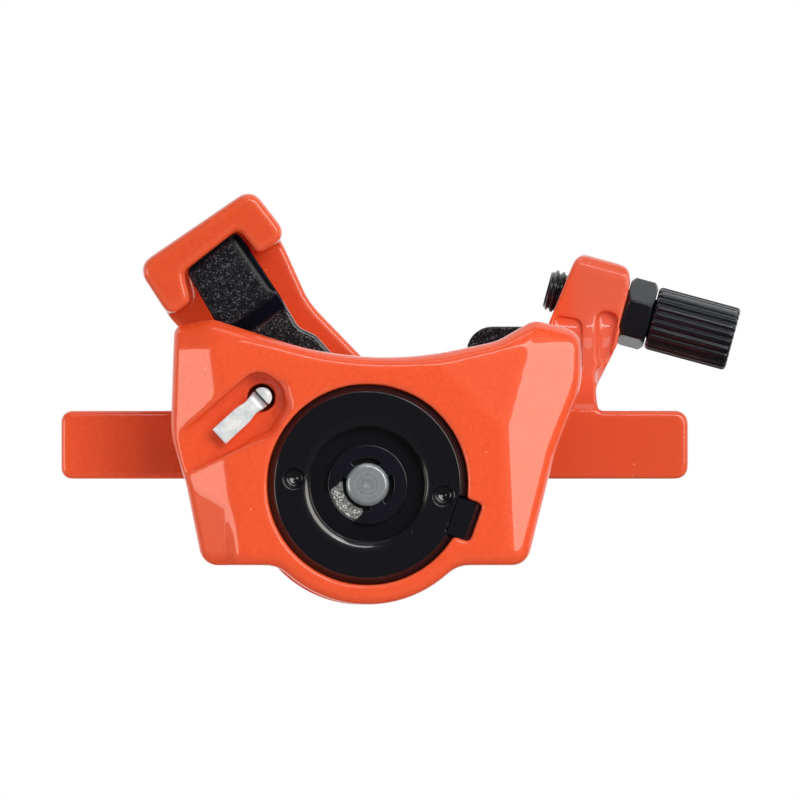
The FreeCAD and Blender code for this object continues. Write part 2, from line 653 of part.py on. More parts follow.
def spindle_clip():
    """E-clip: three quarters of a ring with three inner prongs, its mouth at the lower left."""
    depth = (CLIP_FRONT_Y, CLIP_BACK_Y)
    clip = ring(CLIP_R, CLIP_INNER_R, *depth)
    for angle in CLIP_PRONG_ANGLES:
        prong = block((0.0, CLIP_INNER_R + 0.6), depth, (-CLIP_PRONG_HALF, CLIP_PRONG_HALF))
        prong.rotate(Vector(0, 0, 0), Y_AXIS, -angle)
        clip = clip.fuse(prong)
    clip = clip.cut(disc(CLIP_GROOVE_R, *depth))
    mouth = block((0.0, CLIP_R + 1.0), depth, (-CLIP_MOUTH_HALF, CLIP_MOUTH_HALF))
    mouth.rotate(Vector(0, 0, 0), Y_AXIS, -CLIP_MOUTH_ANGLE)
    return clip.cut(mouth).removeSplitter()


def piston(side):
    """Sliding plate behind a pad, with ball grooves and a key against turning."""
    flat = disc(PISTON_R, PLATE_BACK, PISTON_FRONT)
    key = block((-KEY_HALF, KEY_HALF), (PLATE_BACK, PISTON_FRONT), (-PISTON_R - KEY_HEIGHT, -FLANGE_R))
    flat = flat.fuse(key)
    return cut_grooves(mirrored(flat) if side < 0 else flat, side, -GROOVE_SWEEP)


def balls(side):
    return Part.makeCompound([Part.makeSphere(BALL_R, around(angle, side)) for angle in ball_angles()])


def pad_plate(side):
    back = plate(PAD_OUTLINE, PLATE_FRONT, PLATE_BACK)
    back = back.cut(disc(PAD_HOLE_R, PLATE_FRONT, PLATE_BACK, PIN_X, PIN_Z))
    return mirrored(back) if side < 0 else back


def pad_lining(side):
    lining = plate(LINING_OUTLINE, LINING_GAP_HALF, PLATE_FRONT)
    return mirrored(lining) if side < 0 else lining


def pad_spring():
    """Folded leaf that hangs on the split pin and lies inside both backing plates."""
    outer = PLATE_FRONT - RUNNING_GAP
    inner = outer - LEAF_THICK
    leaf = plate(LEAF_OUTLINE, inner, outer).cut(disc(PIN_R + RUNNING_GAP, inner, outer, PIN_X, PIN_Z))
    left, right, top = LEAF_SADDLE
    saddle = block((left, right), (-outer, outer), (top - LEAF_THICK, top))
    return leaf.fuse([mirrored(leaf), saddle]).removeSplitter()


def near_arm():
    """Pressed steel arm with a joggle above the casting."""
    front = NEAR_ARM_FRONT_Y
    back = front + NEAR_ARM_THICK
    step = NEAR_ARM_JOGGLE
    side = [
        (front, -FAR_AWAY), (front, JOGGLE_START), (front - step, JOGGLE_END), (front - step, FAR_AWAY),
        (back - step, FAR_AWAY), (back - step, JOGGLE_END), (back, JOGGLE_START), (back, -FAR_AWAY),
    ]
    outline = plate(NEAR_ARM_OUTLINE, front - step, back).fuse(disc(NEAR_ARM_HUB_R, front - step, back))
    arm = leaned(outline.common(side_profile(side, -HUB_R, HUB_R)))
    return arm.cut(hexagon(NEAR_HEX, front - step, back)).removeSplitter()


def outer_arm():
    """Cast arm: hub on the far spindle, flat web, and the hood over both halves."""
    web_back = WEB_FRONT_Y + WEB_THICK
    hood = plate(HOOD_OUTLINE, HOOD_FRONT_Y, WEB_FRONT_Y)
    rim = [edge for edge in hood.Edges if edge.BoundBox.YMax < HOOD_FRONT_Y + TINY]
    hood = hood.makeFillet(HOOD_RIM_R, rim)
    web = plate(WEB_OUTLINE, WEB_FRONT_Y, web_back)
    web = web.makeFillet(HOOD_RIM_R, [edge for edge in web.Edges if edge.BoundBox.YMin > web_back - TINY])
    hub = disc(HUB_R, WEB_FRONT_Y, HUB_BACK_Y)
    hub = hub.makeFillet(HOOD_RIM_R, [edge for edge in hub.Edges if edge.BoundBox.YMin > HUB_BACK_Y - TINY])
    arm = web.fuse([hood, hub])
    recess_end = WEB_FRONT_Y + HUB_RECESS_DEPTH
    arm = arm.cut(ring(SPRING_RECESS_OUTER, SPRING_RECESS_INNER, WEB_FRONT_Y, recess_end))
    anchor_hole_r = ANCHOR_SHANK_R + RUNNING_GAP
    arm = leaned(arm.cut(disc(anchor_hole_r, WEB_FRONT_Y, web_back, ANCHOR_ACROSS, ANCHOR_ALONG)))
    arm = arm.cut(spring_tail_hole(SPRING_END_ANGLE, recess_end, recess_end + SPRING_TAIL_ROOM))
    return arm.cut(hexagon(FAR_HEX, WEB_FRONT_Y, HUB_BACK_Y)).removeSplitter()


def far_spindle():
    """Spindle through the far wall, with the ramp flange inside and a hexagon outside."""
    end_y = HUB_BACK_Y - 0.3
    spindle = disc(FLANGE_R, FLANGE_INNER, FLANGE_OUTER).fuse(disc(FAR_JOURNAL_R, FLANGE_OUTER, WEB_FRONT_Y))
    spindle = spindle.fuse(hexagon(FAR_HEX, WEB_FRONT_Y, end_y))
    spindle = spindle.cut(disc(ARM_BOLT_SHANK_R, ARM_BOLT_END_Y, end_y))
    return cut_grooves(spindle, 1, GROOVE_SWEEP)


def far_bush():
    return ring(FAR_BUSH_R, FAR_JOURNAL_R + RUNNING_GAP, FAR_CAVITY_END, WEB_FRONT_Y - 0.1)


def far_thrust_washer():
    return ring(FLANGE_R, FAR_JOURNAL_R + RUNNING_GAP, FLANGE_OUTER + RUNNING_GAP, FAR_CAVITY_END)


def helix_point(turned):
    """Point on the return spring's centre line, after turned degrees of winding."""
    angle = math.radians(SPRING_START_ANGLE + turned)
    y = SPRING_START_Y + SPRING_PITCH * turned / 360.0
    return Vector(SPRING_R * math.cos(angle), y, SPRING_R * math.sin(angle))


def helix_direction(turned):
    angle = math.radians(SPRING_START_ANGLE + turned)
    rise = SPRING_PITCH / (2 * math.pi)
    return Vector(-SPRING_R * math.sin(angle), rise, SPRING_R * math.cos(angle)).normalize()


def biarc(start, start_way, end, end_way):
    """Two arcs that leave start along start_way and reach end along end_way."""
    chord = end - start
    ways = start_way + end_way
    a = 2 * (1 - start_way.dot(end_way))
    b = 2 * chord.dot(ways)
    reach = (-b + math.sqrt(b * b + 4 * a * chord.dot(chord))) / (2 * a)
    joint = (start + end + (start_way - end_way) * reach) * 0.5
    return [tangent_arc(start, start_way, joint), tangent_arc(joint, joint_way(joint, end, end_way), end)]


def joint_way(joint, end, end_way):
    """Direction at the joint of the second arc: its end direction mirrored in the chord."""
    chord = (end - joint).normalize()
    return chord * (2 * chord.dot(end_way)) - end_way


def tangent_arc(start, way, end):
    """Arc from start to end that leaves start along way."""
    chord = end - start
    normal = (chord - way * chord.dot(way)).normalize()
    radius = chord.dot(chord) / (2 * chord.dot(normal))
    centre = start + normal * radius
    middle = (start + end) * 0.5 - centre
    return Part.Arc(start, centre + middle.normalize() * abs(radius), end).toShape()


def return_spring():
    """Torsion spring between the casting and the hub: a coil with both tails turned outward."""
    total = SPRING_TURNS * 360.0
    count = int(SPRING_TURNS * 4)
    steps = [total * i / count for i in range(count + 1)]
    start, start_way = helix_point(0.0), helix_direction(0.0)
    end, end_way = helix_point(total), helix_direction(total)
    bend = SPRING_WIRE_R * 2
    down, up = Y_AXIS * -1, Y_AXIS
    first_knee = start - start_way * bend + down * bend
    last_knee = end + end_way * bend + up * bend
    edges = [Part.LineSegment(first_knee + down * SPRING_TAIL, first_knee).toShape()]
    edges.append(tangent_arc(first_knee, up, start))
    for low, high in zip(steps, steps[1:]):
        edges += biarc(helix_point(low), helix_direction(low), helix_point(high), helix_direction(high))
    edges.append(tangent_arc(end, end_way, last_knee))
    edges.append(Part.LineSegment(last_knee, last_knee + up * SPRING_TAIL).toShape())
    section = Part.Wire([Part.Circle(first_knee + down * SPRING_TAIL, up, SPRING_WIRE_R).toShape()])
    return Part.Wire(edges).makePipeShell([section], True, False)


def least_coil_gap():
    """Least gap from the return spring's wire to itself, over points along its centre line."""
    turns = [SPRING_TURNS * 360.0 * i / SPRING_SAMPLES for i in range(SPRING_SAMPLES + 1)]
    points = [helix_point(turned) for turned in turns]
    half_turn = int(SPRING_SAMPLES / SPRING_TURNS / 2)
    gaps = [p.distanceToPoint(q) for i, p in enumerate(points) for q in points[i + half_turn:]]
    return min(gaps) - 2 * SPRING_WIRE_R


def spring_tail_hole(angle, y_start, y_end):
    """Short slot that a tail of the return spring stands in."""
    turn = math.radians(angle)
    return disc(SPRING_WIRE_R * 3, y_start, y_end, SPRING_R * math.cos(turn), SPRING_R * math.sin(turn))


def arm_washer():
    return ring(ARM_WASHER_R, ARM_BOLT_SHANK_R, HUB_BACK_Y, ARM_WASHER_BACK_Y)


def hex_bolt(shank_r, seat_y, end_y):
    """Bolt along Y with its hexagon head on the far side of seat_y, corners bevelled."""
    top_y = seat_y + BOLT_HEAD
    wide, narrow = [BOLT_FLATS * share for share in BOLT_BEVEL]
    head = hexagon(BOLT_FLATS, seat_y, top_y).common(cone(wide, narrow, seat_y, top_y))
    return head.fuse(disc(shank_r, end_y, seat_y)).removeSplitter()


def arm_bolt():
    return hex_bolt(ARM_BOLT_SHANK_R, ARM_WASHER_BACK_Y, ARM_BOLT_END_Y + BOLT_END_ROOM)


def anchor_plate():
    """Clamp washer with a groove that the cable lies in."""
    front = WEB_FRONT_Y + WEB_THICK
    back = front + ANCHOR_PLATE_THICK
    washer = disc(ANCHOR_PLATE_R, front, back, ANCHOR_ACROSS, ANCHOR_ALONG)
    washer = leaned(washer.cut(disc(ANCHOR_SHANK_R, front, back, ANCHOR_ACROSS, ANCHOR_ALONG)))
    bolt_place = leaned(Part.Vertex(ANCHOR_ACROSS, 0, ANCHOR_ALONG)).Point
    offset = ANCHOR_SHANK_R + CABLE_R
    start = Vector(-CABLE_GROOVE_HALF, front, offset)
    groove = Part.makeCylinder(CABLE_R, 2 * CABLE_GROOVE_HALF, start, Vector(1, 0, 0))
    groove.rotate(Vector(0, 0, 0), Y_AXIS, ADJUSTER_TILT)
    groove.translate(Vector(bolt_place.x, 0, bolt_place.z))
    return washer.cut(groove)


def anchor_bolt():
    seat_y = WEB_FRONT_Y + WEB_THICK + ANCHOR_PLATE_THICK
    bolt = hex_bolt(ANCHOR_SHANK_R, seat_y, WEB_FRONT_Y + BOLT_END_ROOM)
    bolt.translate(Vector(ANCHOR_ACROSS, 0, ANCHOR_ALONG))
    return leaned(bolt)


def cotter_pin():
    """Split pin: an eye at the far side, two half-round legs, one bent over in the trough."""
    legs_end = EYE_SEAT_Y + 2 * EYE_WIRE_R
    legs = disc(PIN_R, PIN_BENT_FRONT_Y, legs_end)
    bent = Part.makeCylinder(PIN_R, PIN_BENT_LENGTH, Vector(0, PIN_BENT_FRONT_Y, 0), Vector(-1, 0, 0))
    bent = bent.common(block((-FAR_AWAY, 0.0), (PIN_BENT_FRONT_Y, 0.0), (-PIN_R, PIN_R)))
    straight = disc(PIN_R, PIN_STRAIGHT_END_Y, PIN_BENT_FRONT_Y).common(
        block((0.0, PIN_R), (PIN_STRAIGHT_END_Y, 0.0), (-PIN_R, PIN_R))
    )
    split = block((-PIN_SPLIT, PIN_SPLIT), (PIN_STRAIGHT_END_Y, EYE_SEAT_Y), (-PIN_R, PIN_R))
    eye_centre = Vector(0, EYE_SEAT_Y + EYE_WIRE_R + EYE_R, 0)
    eye = Part.makeTorus(EYE_R, EYE_WIRE_R, eye_centre, Vector(0, 0, 1))
    pin = legs.fuse([straight]).cut(split).fuse([bent.cut(split), eye]).removeSplitter()
    pin.rotate(Vector(0, 0, 0), Y_AXIS, -PIN_BEND_TILT)
    pin.translate(Vector(PIN_X, 0, PIN_Z))
    return pin


def adjuster_barrel():
    """Threaded tube with a socket for the cable housing at its outer end."""
    barrel = rod(BARREL_R, BARREL_TAIL, BARREL_END)
    barrel = barrel.cut(rod(BARREL_BORE_R, BARREL_TAIL, BARREL_END))
    return on_adjuster(barrel.cut(rod(SOCKET_R, BARREL_END - SOCKET_DEPTH, BARREL_END)))


def adjuster_knob():
    """Fluted sleeve over the barrel's outer end."""
    knob = rod(KNOB_R, KNOB_START, KNOB_END)
    knob = knob.makeFillet(KNOB_ROUND, [edge for edge in knob.Edges if edge.BoundBox.XLength < TINY])
    for i in range(KNOB_FLUTES):
        angle = 2 * math.pi * i / KNOB_FLUTES
        base = Vector(KNOB_START, FLUTE_PITCH_R * math.cos(angle), FLUTE_PITCH_R * math.sin(angle))
        knob = knob.cut(Part.makeCylinder(FLUTE_R, KNOB_END - KNOB_START, base, Vector(1, 0, 0)))
    knob = knob.cut(rod(BARREL_R + RUNNING_GAP, KNOB_START, BARREL_END + RUNNING_GAP))
    return on_adjuster(knob.cut(rod(KNOB_LIP_R, BARREL_END, KNOB_END)))


def adjuster_lock_nut():
    corner_r = NUT_ACROSS_FLATS / math.sqrt(3)
    points = []
    for i in range(6):
        angle = math.radians(NUT_TURN + 60.0 * i)
        points.append(Vector(NUT_START, -corner_r * math.cos(angle), corner_r * math.sin(angle)))
    nut = Part.Face(Part.makePolygon(points + points[:1])).extrude(Vector(NUT_THICK, 0, 0))
    end = NUT_START + NUT_THICK
    profile = [
        Vector(NUT_START, 0, 0), Vector(NUT_START, 0, NUT_FACE_R),
        Vector(NUT_START + NUT_BEVEL, 0, corner_r), Vector(end - NUT_BEVEL, 0, corner_r),
        Vector(end, 0, NUT_FACE_R), Vector(end, 0, 0),
    ]
    section = Part.Face(Part.makePolygon(profile + profile[:1]))
    turned = section.revolve(Vector(0, 0, 0), Vector(1, 0, 0), 360)
    return on_adjuster(nut.common(turned).cut(rod(BARREL_R + RUNNING_GAP, NUT_START, end)))


NODES = {
    "caliper_body": caliper_body,
    "near_cap": near_cap,
    "cap_lock_key": cap_lock_key,
    "near_bush": near_bush,
    "near_spindle": near_spindle,
    "spindle_clip": spindle_clip,
    "near_arm": near_arm,
    "near_balls": lambda: balls(-1),
    "near_piston": lambda: piston(-1),
    "inner_pad_plate": lambda: pad_plate(-1),
    "inner_pad_lining": lambda: pad_lining(-1),
    "outer_pad_lining": lambda: pad_lining(1),
    "outer_pad_plate": lambda: pad_plate(1),
    "far_piston": lambda: piston(1),
    "far_balls": lambda: balls(1),
    "pad_spring": pad_spring,
    "cotter_pin": cotter_pin,
    "far_spindle": far_spindle,
    "far_thrust_washer": far_thrust_washer,
    "far_bush": far_bush,
    "return_spring": return_spring,
    "outer_arm": outer_arm,
    "arm_washer": arm_washer,
    "arm_bolt": arm_bolt,
    "anchor_plate": anchor_plate,
    "anchor_bolt": anchor_bolt,
    "adjuster_barrel": adjuster_barrel,
    "adjuster_knob": adjuster_knob,
    "adjuster_lock_nut": adjuster_lock_nut,
}

os.makedirs(OUT_DIR, exist_ok=True)
for name, make in NODES.items():
    shape = make()
    shape.exportStep(os.path.join(OUT_DIR, name + ".step"))
    print(name, shape.isValid(), len(shape.Solids), round(shape.Volume, 1))
print("least gap of the return spring to itself, mm:", round(least_coil_gap(), 2))
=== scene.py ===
import json
import math

import bmesh
import bpy
import numpy as np
from mathutils import Matrix, Vector

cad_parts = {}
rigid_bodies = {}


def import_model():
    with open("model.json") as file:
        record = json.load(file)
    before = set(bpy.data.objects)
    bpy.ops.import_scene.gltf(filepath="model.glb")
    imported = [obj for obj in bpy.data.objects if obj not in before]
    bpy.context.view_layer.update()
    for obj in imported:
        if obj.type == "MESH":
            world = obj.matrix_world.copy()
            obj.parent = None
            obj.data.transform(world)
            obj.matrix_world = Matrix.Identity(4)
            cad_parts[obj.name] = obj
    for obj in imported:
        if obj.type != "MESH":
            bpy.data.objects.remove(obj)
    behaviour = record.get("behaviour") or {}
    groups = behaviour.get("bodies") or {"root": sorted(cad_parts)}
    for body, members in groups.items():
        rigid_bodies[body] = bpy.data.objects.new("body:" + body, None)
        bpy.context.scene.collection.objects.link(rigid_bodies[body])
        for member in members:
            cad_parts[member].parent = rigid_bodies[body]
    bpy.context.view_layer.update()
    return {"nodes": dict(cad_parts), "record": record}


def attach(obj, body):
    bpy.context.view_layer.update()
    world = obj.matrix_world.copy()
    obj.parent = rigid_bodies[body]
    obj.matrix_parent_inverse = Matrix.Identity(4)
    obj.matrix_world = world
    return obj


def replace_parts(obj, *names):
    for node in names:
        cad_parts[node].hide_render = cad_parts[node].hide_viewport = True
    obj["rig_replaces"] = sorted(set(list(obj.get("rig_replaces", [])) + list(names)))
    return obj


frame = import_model()

# Cable-pulled disc brake caliper. Lengths here are in millimetres, in the frame of the CAD model,
# and are turned to metres only where a mesh is made. Finishes work in metres.
MM = 0.001
# Corners nearer than this, in metres, are one corner
MERGE_STEP = 1e-7
NEAR_FACE_Y = -20.5

# Framing of the photograph: what its middle shows, and how wide it is
VIEW_X = 5.24
VIEW_Z = 13.63
VIEW_WIDTH = 129.03
CAMERA_DISTANCE = 1500.0

# Floor below the object, dark table that only reflections see, and light from all round
FLOOR_Z = -260.0
FLOOR_HALF = 1200.0
TABLE_Z = -255.0
TABLE_HALF = 1500.0
TABLE_BACK_Y = 350.0
WORLD_FILL = 0.37
FLOOR_GLOW = 0.35

# Facets of the casting's front, as in the CAD: two points of the crease, then a point (x, y, z)
# on the slope
FACETS = (
    ((-24.8, 22.0), (-20.8, -9.0), (-31.5, -15.9, 10.0)),
    ((22.6, -6.0), (21.4, 21.0), (33.5, -15.7, 15.0)),
    ((21.6, 8.5), (11.8, 18.9), (25.0, -18.9, 21.0)),
)
# Depths behind the front surface between which a reshape fades out
FRONT_FADE = (0.5, 4.0)
# Lip where the front starts to fall back towards the top edge, as x and z
TOP_LIP = (
    (-34.0, -25.0, -20.0, -14.0, -8.0, 0.0, 8.0, 11.7, 22.5, 33.2, 40.0),
    (21.6, 21.9, 23.0, 22.3, 21.3, 20.2, 19.6, 19.5, 22.2, 23.0, 23.0),
)
TOP_SLOPE = 0.4
TOP_ROUNDING = 0.35
# Lower left corner, which leans back a little more than the facet above it: two points of its crease,
# then its slope, and where and over what width it fades in
LOW_CORNER = ((-27.6, -0.2), (-21.6, -4.0))
LOW_CORNER_SLOPE = 0.14
LOW_CORNER_ROUNDING = 0.3
LOW_CORNER_X = -20.6
LOW_CORNER_FADE = 2.5

# Leaning front of the stem from low to high, and the hollow in it as ranges of x and z and of depth
STEM_LEAN_Z = (12.0, 24.5)
STEM_LEAN_Y = (4.0, 16.1)
STEM_SLOPE = (STEM_LEAN_Y[1] - STEM_LEAN_Y[0]) / (STEM_LEAN_Z[1] - STEM_LEAN_Z[0])
STEM_HOLLOW = (29.4, 35.2, 16.8, 28.4)
HOLLOW_DEPTHS = (0.05, 2.9)
HOLLOW_FILL = 0.7
# Where the stem starts in x and z, and how deep its fillet goes and how round it is
STEM_X = 27.4
STEM_Z = 12.8
STEM_FRONT_SLACK = 0.4
STEM_FADE = (1.6, 2.2)
STEM_FILLET = 2.6
# Boss of the adjuster: where its round top starts, its half width, its ends, and how square it is
BOSS_RISE = 1.6
BOSS_HALF = 5.5
BOSS_SIDE_SLACK = 0.3
BOSS_ENDS = (-16.3, -4.2)
BOSS_SQUARENESS = 6.0
BOSS_TOP_LIMIT = 0.98

# Trough round the split pin: corners of its core, and its section as (offset, y, rounding)
TROUGH_CORE = (
    (-17.6, 16.2), (-14.9, 15.2), (-14.2, 12.8), (-16.3, 9.4), (-36.0, 0.9), (-36.0, 3.4),
)
TROUGH_SECTION = (
    (0.0, -16.3, 0), (0.7, -16.35, 0.4), (1.25, -18.8, 0.8), (2.0, -20.25, 0.8), (4.2, -20.75, 0),
    (4.2, -24.0, 0),
)
TROUGH_STEP = 3.0

# Split pin, with a short and a long leg. Its neck is narrower by a share, at a place, over a width
PIN_X = -17.1
PIN_Z = 14.0
PIN_R = 1.58
PIN_BEND_TILT = 42.6
PIN_GAP = 0.14
PIN_BEND_R = 1.64
PIN_FLAT_Y = -18.1
PIN_FLAT_LIFT = 0.05
PIN_SHORT_END_Y = -18.9
PIN_LONG_END = 9.3
PIN_EYE_START_Y = 10.0
PIN_EYE_Y = 12.4
PIN_EYE_R = 1.5
PIN_EYE_TURN = (-112, -428)
PIN_NECK = (0.2, 2.3, 1.2)
PIN_MOUTH_R = 2.25
PIN_MOUTH_Y = (-18.5, -12.0)

# Free end of the black arm: which way it faces, how far out it is, and how much it is moved on
ARM_END_WAY = (-0.576, 0.817)
ARM_END = 44.8
ARM_END_LEAN = 0.067
ARM_END_SHIFT = 0.6
ARM_END_FADE = 4.0
ARM_HEAD_Y = -16.0
ARM_HEAD_SIDES = (5.65, 4.85)
ARM_HEAD_TAPER = 0.07
ARM_HEAD_START = (33.6, 34.6)
ARM_CROWN = 0.45
ARM_CROWN_WIDTH = (-0.1, 1.3)
ARM_CROWN_DEPTHS = (0.3, 1.5)

# Centre mark in the spindle's end
MARK_R = 1.3
MARK_DEPTH = 1.5
MARK_KEPT = 0.12

# Adjuster axis
ADJUSTER_TILT = 15.15
ADJUSTER_POINT = (46.04, 21.6, 26.87)
THREAD_PITCH = 1.0
THREAD_DEPTH = 0.42
THREAD_FLANK = (0.1, 0.75)
BARREL_R = 3.44
BARREL_ENDS = (-17.7, 12.2)
BARREL_CHAMFER = (0.6, 0.8)
SOCKET_R = 2.6
SOCKET_DEPTH = 9.0
CABLE_R = 1.1
KNOB_R = 5.2
KNOB_ENDS = (-0.2, 13.38)
KNOB_RIBS = 24
KNOB_GROOVE = 0.34
KNOB_ROUNDING = 0.7
KNOB_FACE_SLOPE = 0.02
KNOB_INSIDE = (3.6, 2.75, 3.5, 4.2)

# Cap: its front as (radius, y, rounding) from the hole outward, then its back as (radius, y)
CAP_FRONT_Y = -20.1
CAP_PROFILE = (
    (6.0, -15.0, 0), (6.0, -17.5, 0.3), (9.4, -17.5, 0.15), (9.5, -19.64, 0.3),
    (10.5, CAP_FRONT_Y, 4.0), (14.95, CAP_FRONT_Y, 0.35), (16.08, -19.0, 0.3), (16.08, -14.2, 0),
)
CAP_BACK = ((9.05, -14.2), (9.05, -15.0))
# What lies in front of the first y can be pressed in, as far as the second
CAP_PRESSED_Y = (-15.5, -14.3)
CAP_DIMPLES = ((-11.8, 1.0), (12.2, -1.7))
DIMPLE_R = 1.9
DIMPLE_ROUNDING = 0.75
DIMPLE_WALL = 0.8
DIMPLE_CONE = 0.2
DRILL_TIP = (0.2, 0.5)
NOTCH_TILT = 19.5
NOTCH_HALF = 3.2
NOTCH_INNER = 14.6
NOTCH_FLOOR_Y = -17.5
NOTCH_EDGE = 0.1


def linked(name, data):
    """New object in the scene."""
    made = bpy.data.objects.new(name, data)
    bpy.context.scene.collection.objects.link(made)
    return made


def mesh_from(name, points, faces):
    """Mesh from points in millimetres and faces that all have the same number of corners."""
    mesh = bpy.data.meshes.new(name)
    mesh.vertices.add(len(points))
    mesh.vertices.foreach_set("co", (points * MM).astype(np.float32).ravel())
    mesh.loops.add(faces.size)
    mesh.loops.foreach_set("vertex_index", faces.astype(np.int32).ravel())
    mesh.polygons.add(len(faces))
    mesh.polygons.foreach_set("loop_start", np.arange(0, faces.size, faces.shape[1], dtype=np.int32))
    mesh.update(calc_edges=True)
    mesh.validate()
    return mesh


def rectangle(name, low, high, z):
    """Level rectangle between two corners (x, y)."""
    corners = [(low[0], low[1], z), (high[0], low[1], z), (high[0], high[1], z), (low[0], high[1], z)]
    return mesh_from(name, np.array(corners, float), np.array([[0, 1, 2, 3]]))


def grid_faces(rows, columns, rows_close=False, columns_close=False):
    """Quads between neighbouring points of a grid, which may close on itself either way."""
    row, column = np.meshgrid(
        np.arange(rows if rows_close else rows - 1),
        np.arange(columns if columns_close else columns - 1),
        indexing="ij",
    )
    next_row = (row + 1) % rows
    next_column = (column + 1) % columns
    corners = (row * columns + column, row * columns + next_column,
               next_row * columns + next_column, next_row * columns + column)
    return np.stack(corners, axis=-1).reshape(-1, 4)


def capped_tube(rings):
    """Points and triangles of a row of rings, closed at both ends by a point in the middle."""
    rows, columns = rings.shape[:2]
    points = np.concatenate([rings.reshape(-1, 3), rings[[0, -1]].mean(axis=1)])
    quads = grid_faces(rows, columns, False, True)
    corner = np.arange(columns)
    first = np.stack([corner, np.roll(corner, -1), np.full(columns, rows * columns)], axis=1)
    last = first + (rows - 1) * columns
    last[:, 2] = rows * columns + 1
    return points, np.concatenate([quads[:, [0, 1, 2]], quads[:, [0, 2, 3]], first, last])


def closed_outward(mesh):
    """Turn all faces of a closed mesh outward and shade it smooth."""
    bm = bmesh.new()
    bm.from_mesh(mesh)
    bmesh.ops.recalc_face_normals(bm, faces=bm.faces)
    bm.to_mesh(mesh)
    bm.free()
    mesh.polygons.foreach_set("use_smooth", np.ones(len(mesh.polygons), dtype=bool))
    mesh.update()
    return mesh


def piece(name, mesh, body, slot, replaces=(), look=None):
    """Object at the origin that rides a body, takes a finish and stands for CAD nodes."""
    made = linked(name, mesh)
    mesh.materials.clear()
    mesh.materials.append(FINISHES[look or slot])
    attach(made, body)
    if replaces:
        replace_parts(made, *replaces)
    return made


def rounded_profile(corners, closed, step=0.12):
    """Points along a profile of (a, b, radius) corners, each corner replaced by its tangent arc.

    An arc is centre + radius * (cos t, sin t) between the two points where it touches the sides."""
    places = np.array([corner[:2] for corner in corners], float)
    count = len(corners)
    parts = []
    for i in range(count):
        here, radius = places[i], corners[i][2]
        if radius == 0 or (not closed and i in (0, count - 1)):
            parts.append(here[None, :])
            continue
        back = places[i - 1] - here
        ahead = places[(i + 1) % count] - here
        back /= np.linalg.norm(back)
        ahead /= np.linalg.norm(ahead)
        half = math.acos(np.clip(back @ ahead, -1, 1)) / 2
        middle = (back + ahead) / np.linalg.norm(back + ahead)
        centre = here + middle * radius / math.sin(half)
        first = here + back * radius / math.tan(half) - centre
        last = here + ahead * radius / math.tan(half) - centre
        start = math.atan2(first[1], first[0])
        sweep = (math.atan2(last[1], last[0]) - start + math.pi) % (2 * math.pi) - math.pi
        turn = start + np.linspace(0, sweep, max(3, int(abs(sweep) * radius / step) + 2))
        parts.append(centre + radius * np.stack([np.cos(turn), np.sin(turn)], axis=1))
    return np.concatenate(parts)


def evenly_spaced(points, step):
    """The same open line with points added so that neighbours are at most step apart."""
    parts = []
    for a, b in zip(points[:-1], points[1:]):
        count = max(1, math.ceil(np.linalg.norm(b - a) / step))
        parts.append(a + (b - a) * np.linspace(0, 1, count + 1)[:-1, None])
    return np.concatenate(parts + [points[-1:]])


def smoothed(points, edges, passes):
    """Each pass moves every point half of the way to the mean of its neighbours."""
    count = len(points)
    degree = np.maximum(np.bincount(edges.ravel(), minlength=count), 1)[:, None]
    for _ in range(passes):
        total = np.stack([
            np.bincount(edges[:, 0], points[edges[:, 1], axis], count)
            + np.bincount(edges[:, 1], points[edges[:, 0], axis], count)
            for axis in range(3)
        ], axis=1)
        points = points + 0.5 * (total / degree - points)
    return points


def cad_mesh(node):
    """Merged copy of a CAD node's mesh, without its loose duplicate corners."""
    source = frame["nodes"][node].data
    corners = np.empty(len(source.vertices) * 3, np.float32)
    source.vertices.foreach_get("co", corners)
    source.calc_loop_triangles()
    triangles = np.empty(len(source.loop_triangles) * 3, np.int32)
    source.loop_triangles.foreach_get("vertices", triangles)
    keys = np.round(corners.reshape(-1, 3) / MERGE_STEP).astype(np.int64)
    unique, index = np.unique(keys, axis=0, return_inverse=True)
    faces = index.reshape(-1)[triangles].reshape(-1, 3)
    a, b, c = faces.T
    solid = (a != b) & (b != c) & (c != a)
    return mesh_from(node, unique * MERGE_STEP / MM, faces[solid])


def applied(made):
    """The mesh that an object's modifiers give, and the object removed."""
    bpy.context.view_layer.update()
    depsgraph = bpy.context.evaluated_depsgraph_get()
    result = bpy.data.meshes.new_from_object(made.evaluated_get(depsgraph))
    bpy.data.objects.remove(made)
    return result


def eased(value, low, high):
    """Smooth step from 0 at low to 1 at high: 3 t squared minus 2 t cubed."""
    t = np.clip((value - low) / (high - low), 0, 1)
    return t * t * (3 - 2 * t)


def beyond(x, z, start, end):
    """Distance from the line from start to end, above zero on its left."""
    along = np.subtract(end, start)
    return ((z - start[1]) * along[0] - (x - start[0]) * along[1]) / np.hypot(*along)


def above_zero(value, width):
    """Smooth max(value, 0): half of value + sqrt(value squared + width squared)."""
    return (value + np.sqrt(value ** 2 + width ** 2)) / 2


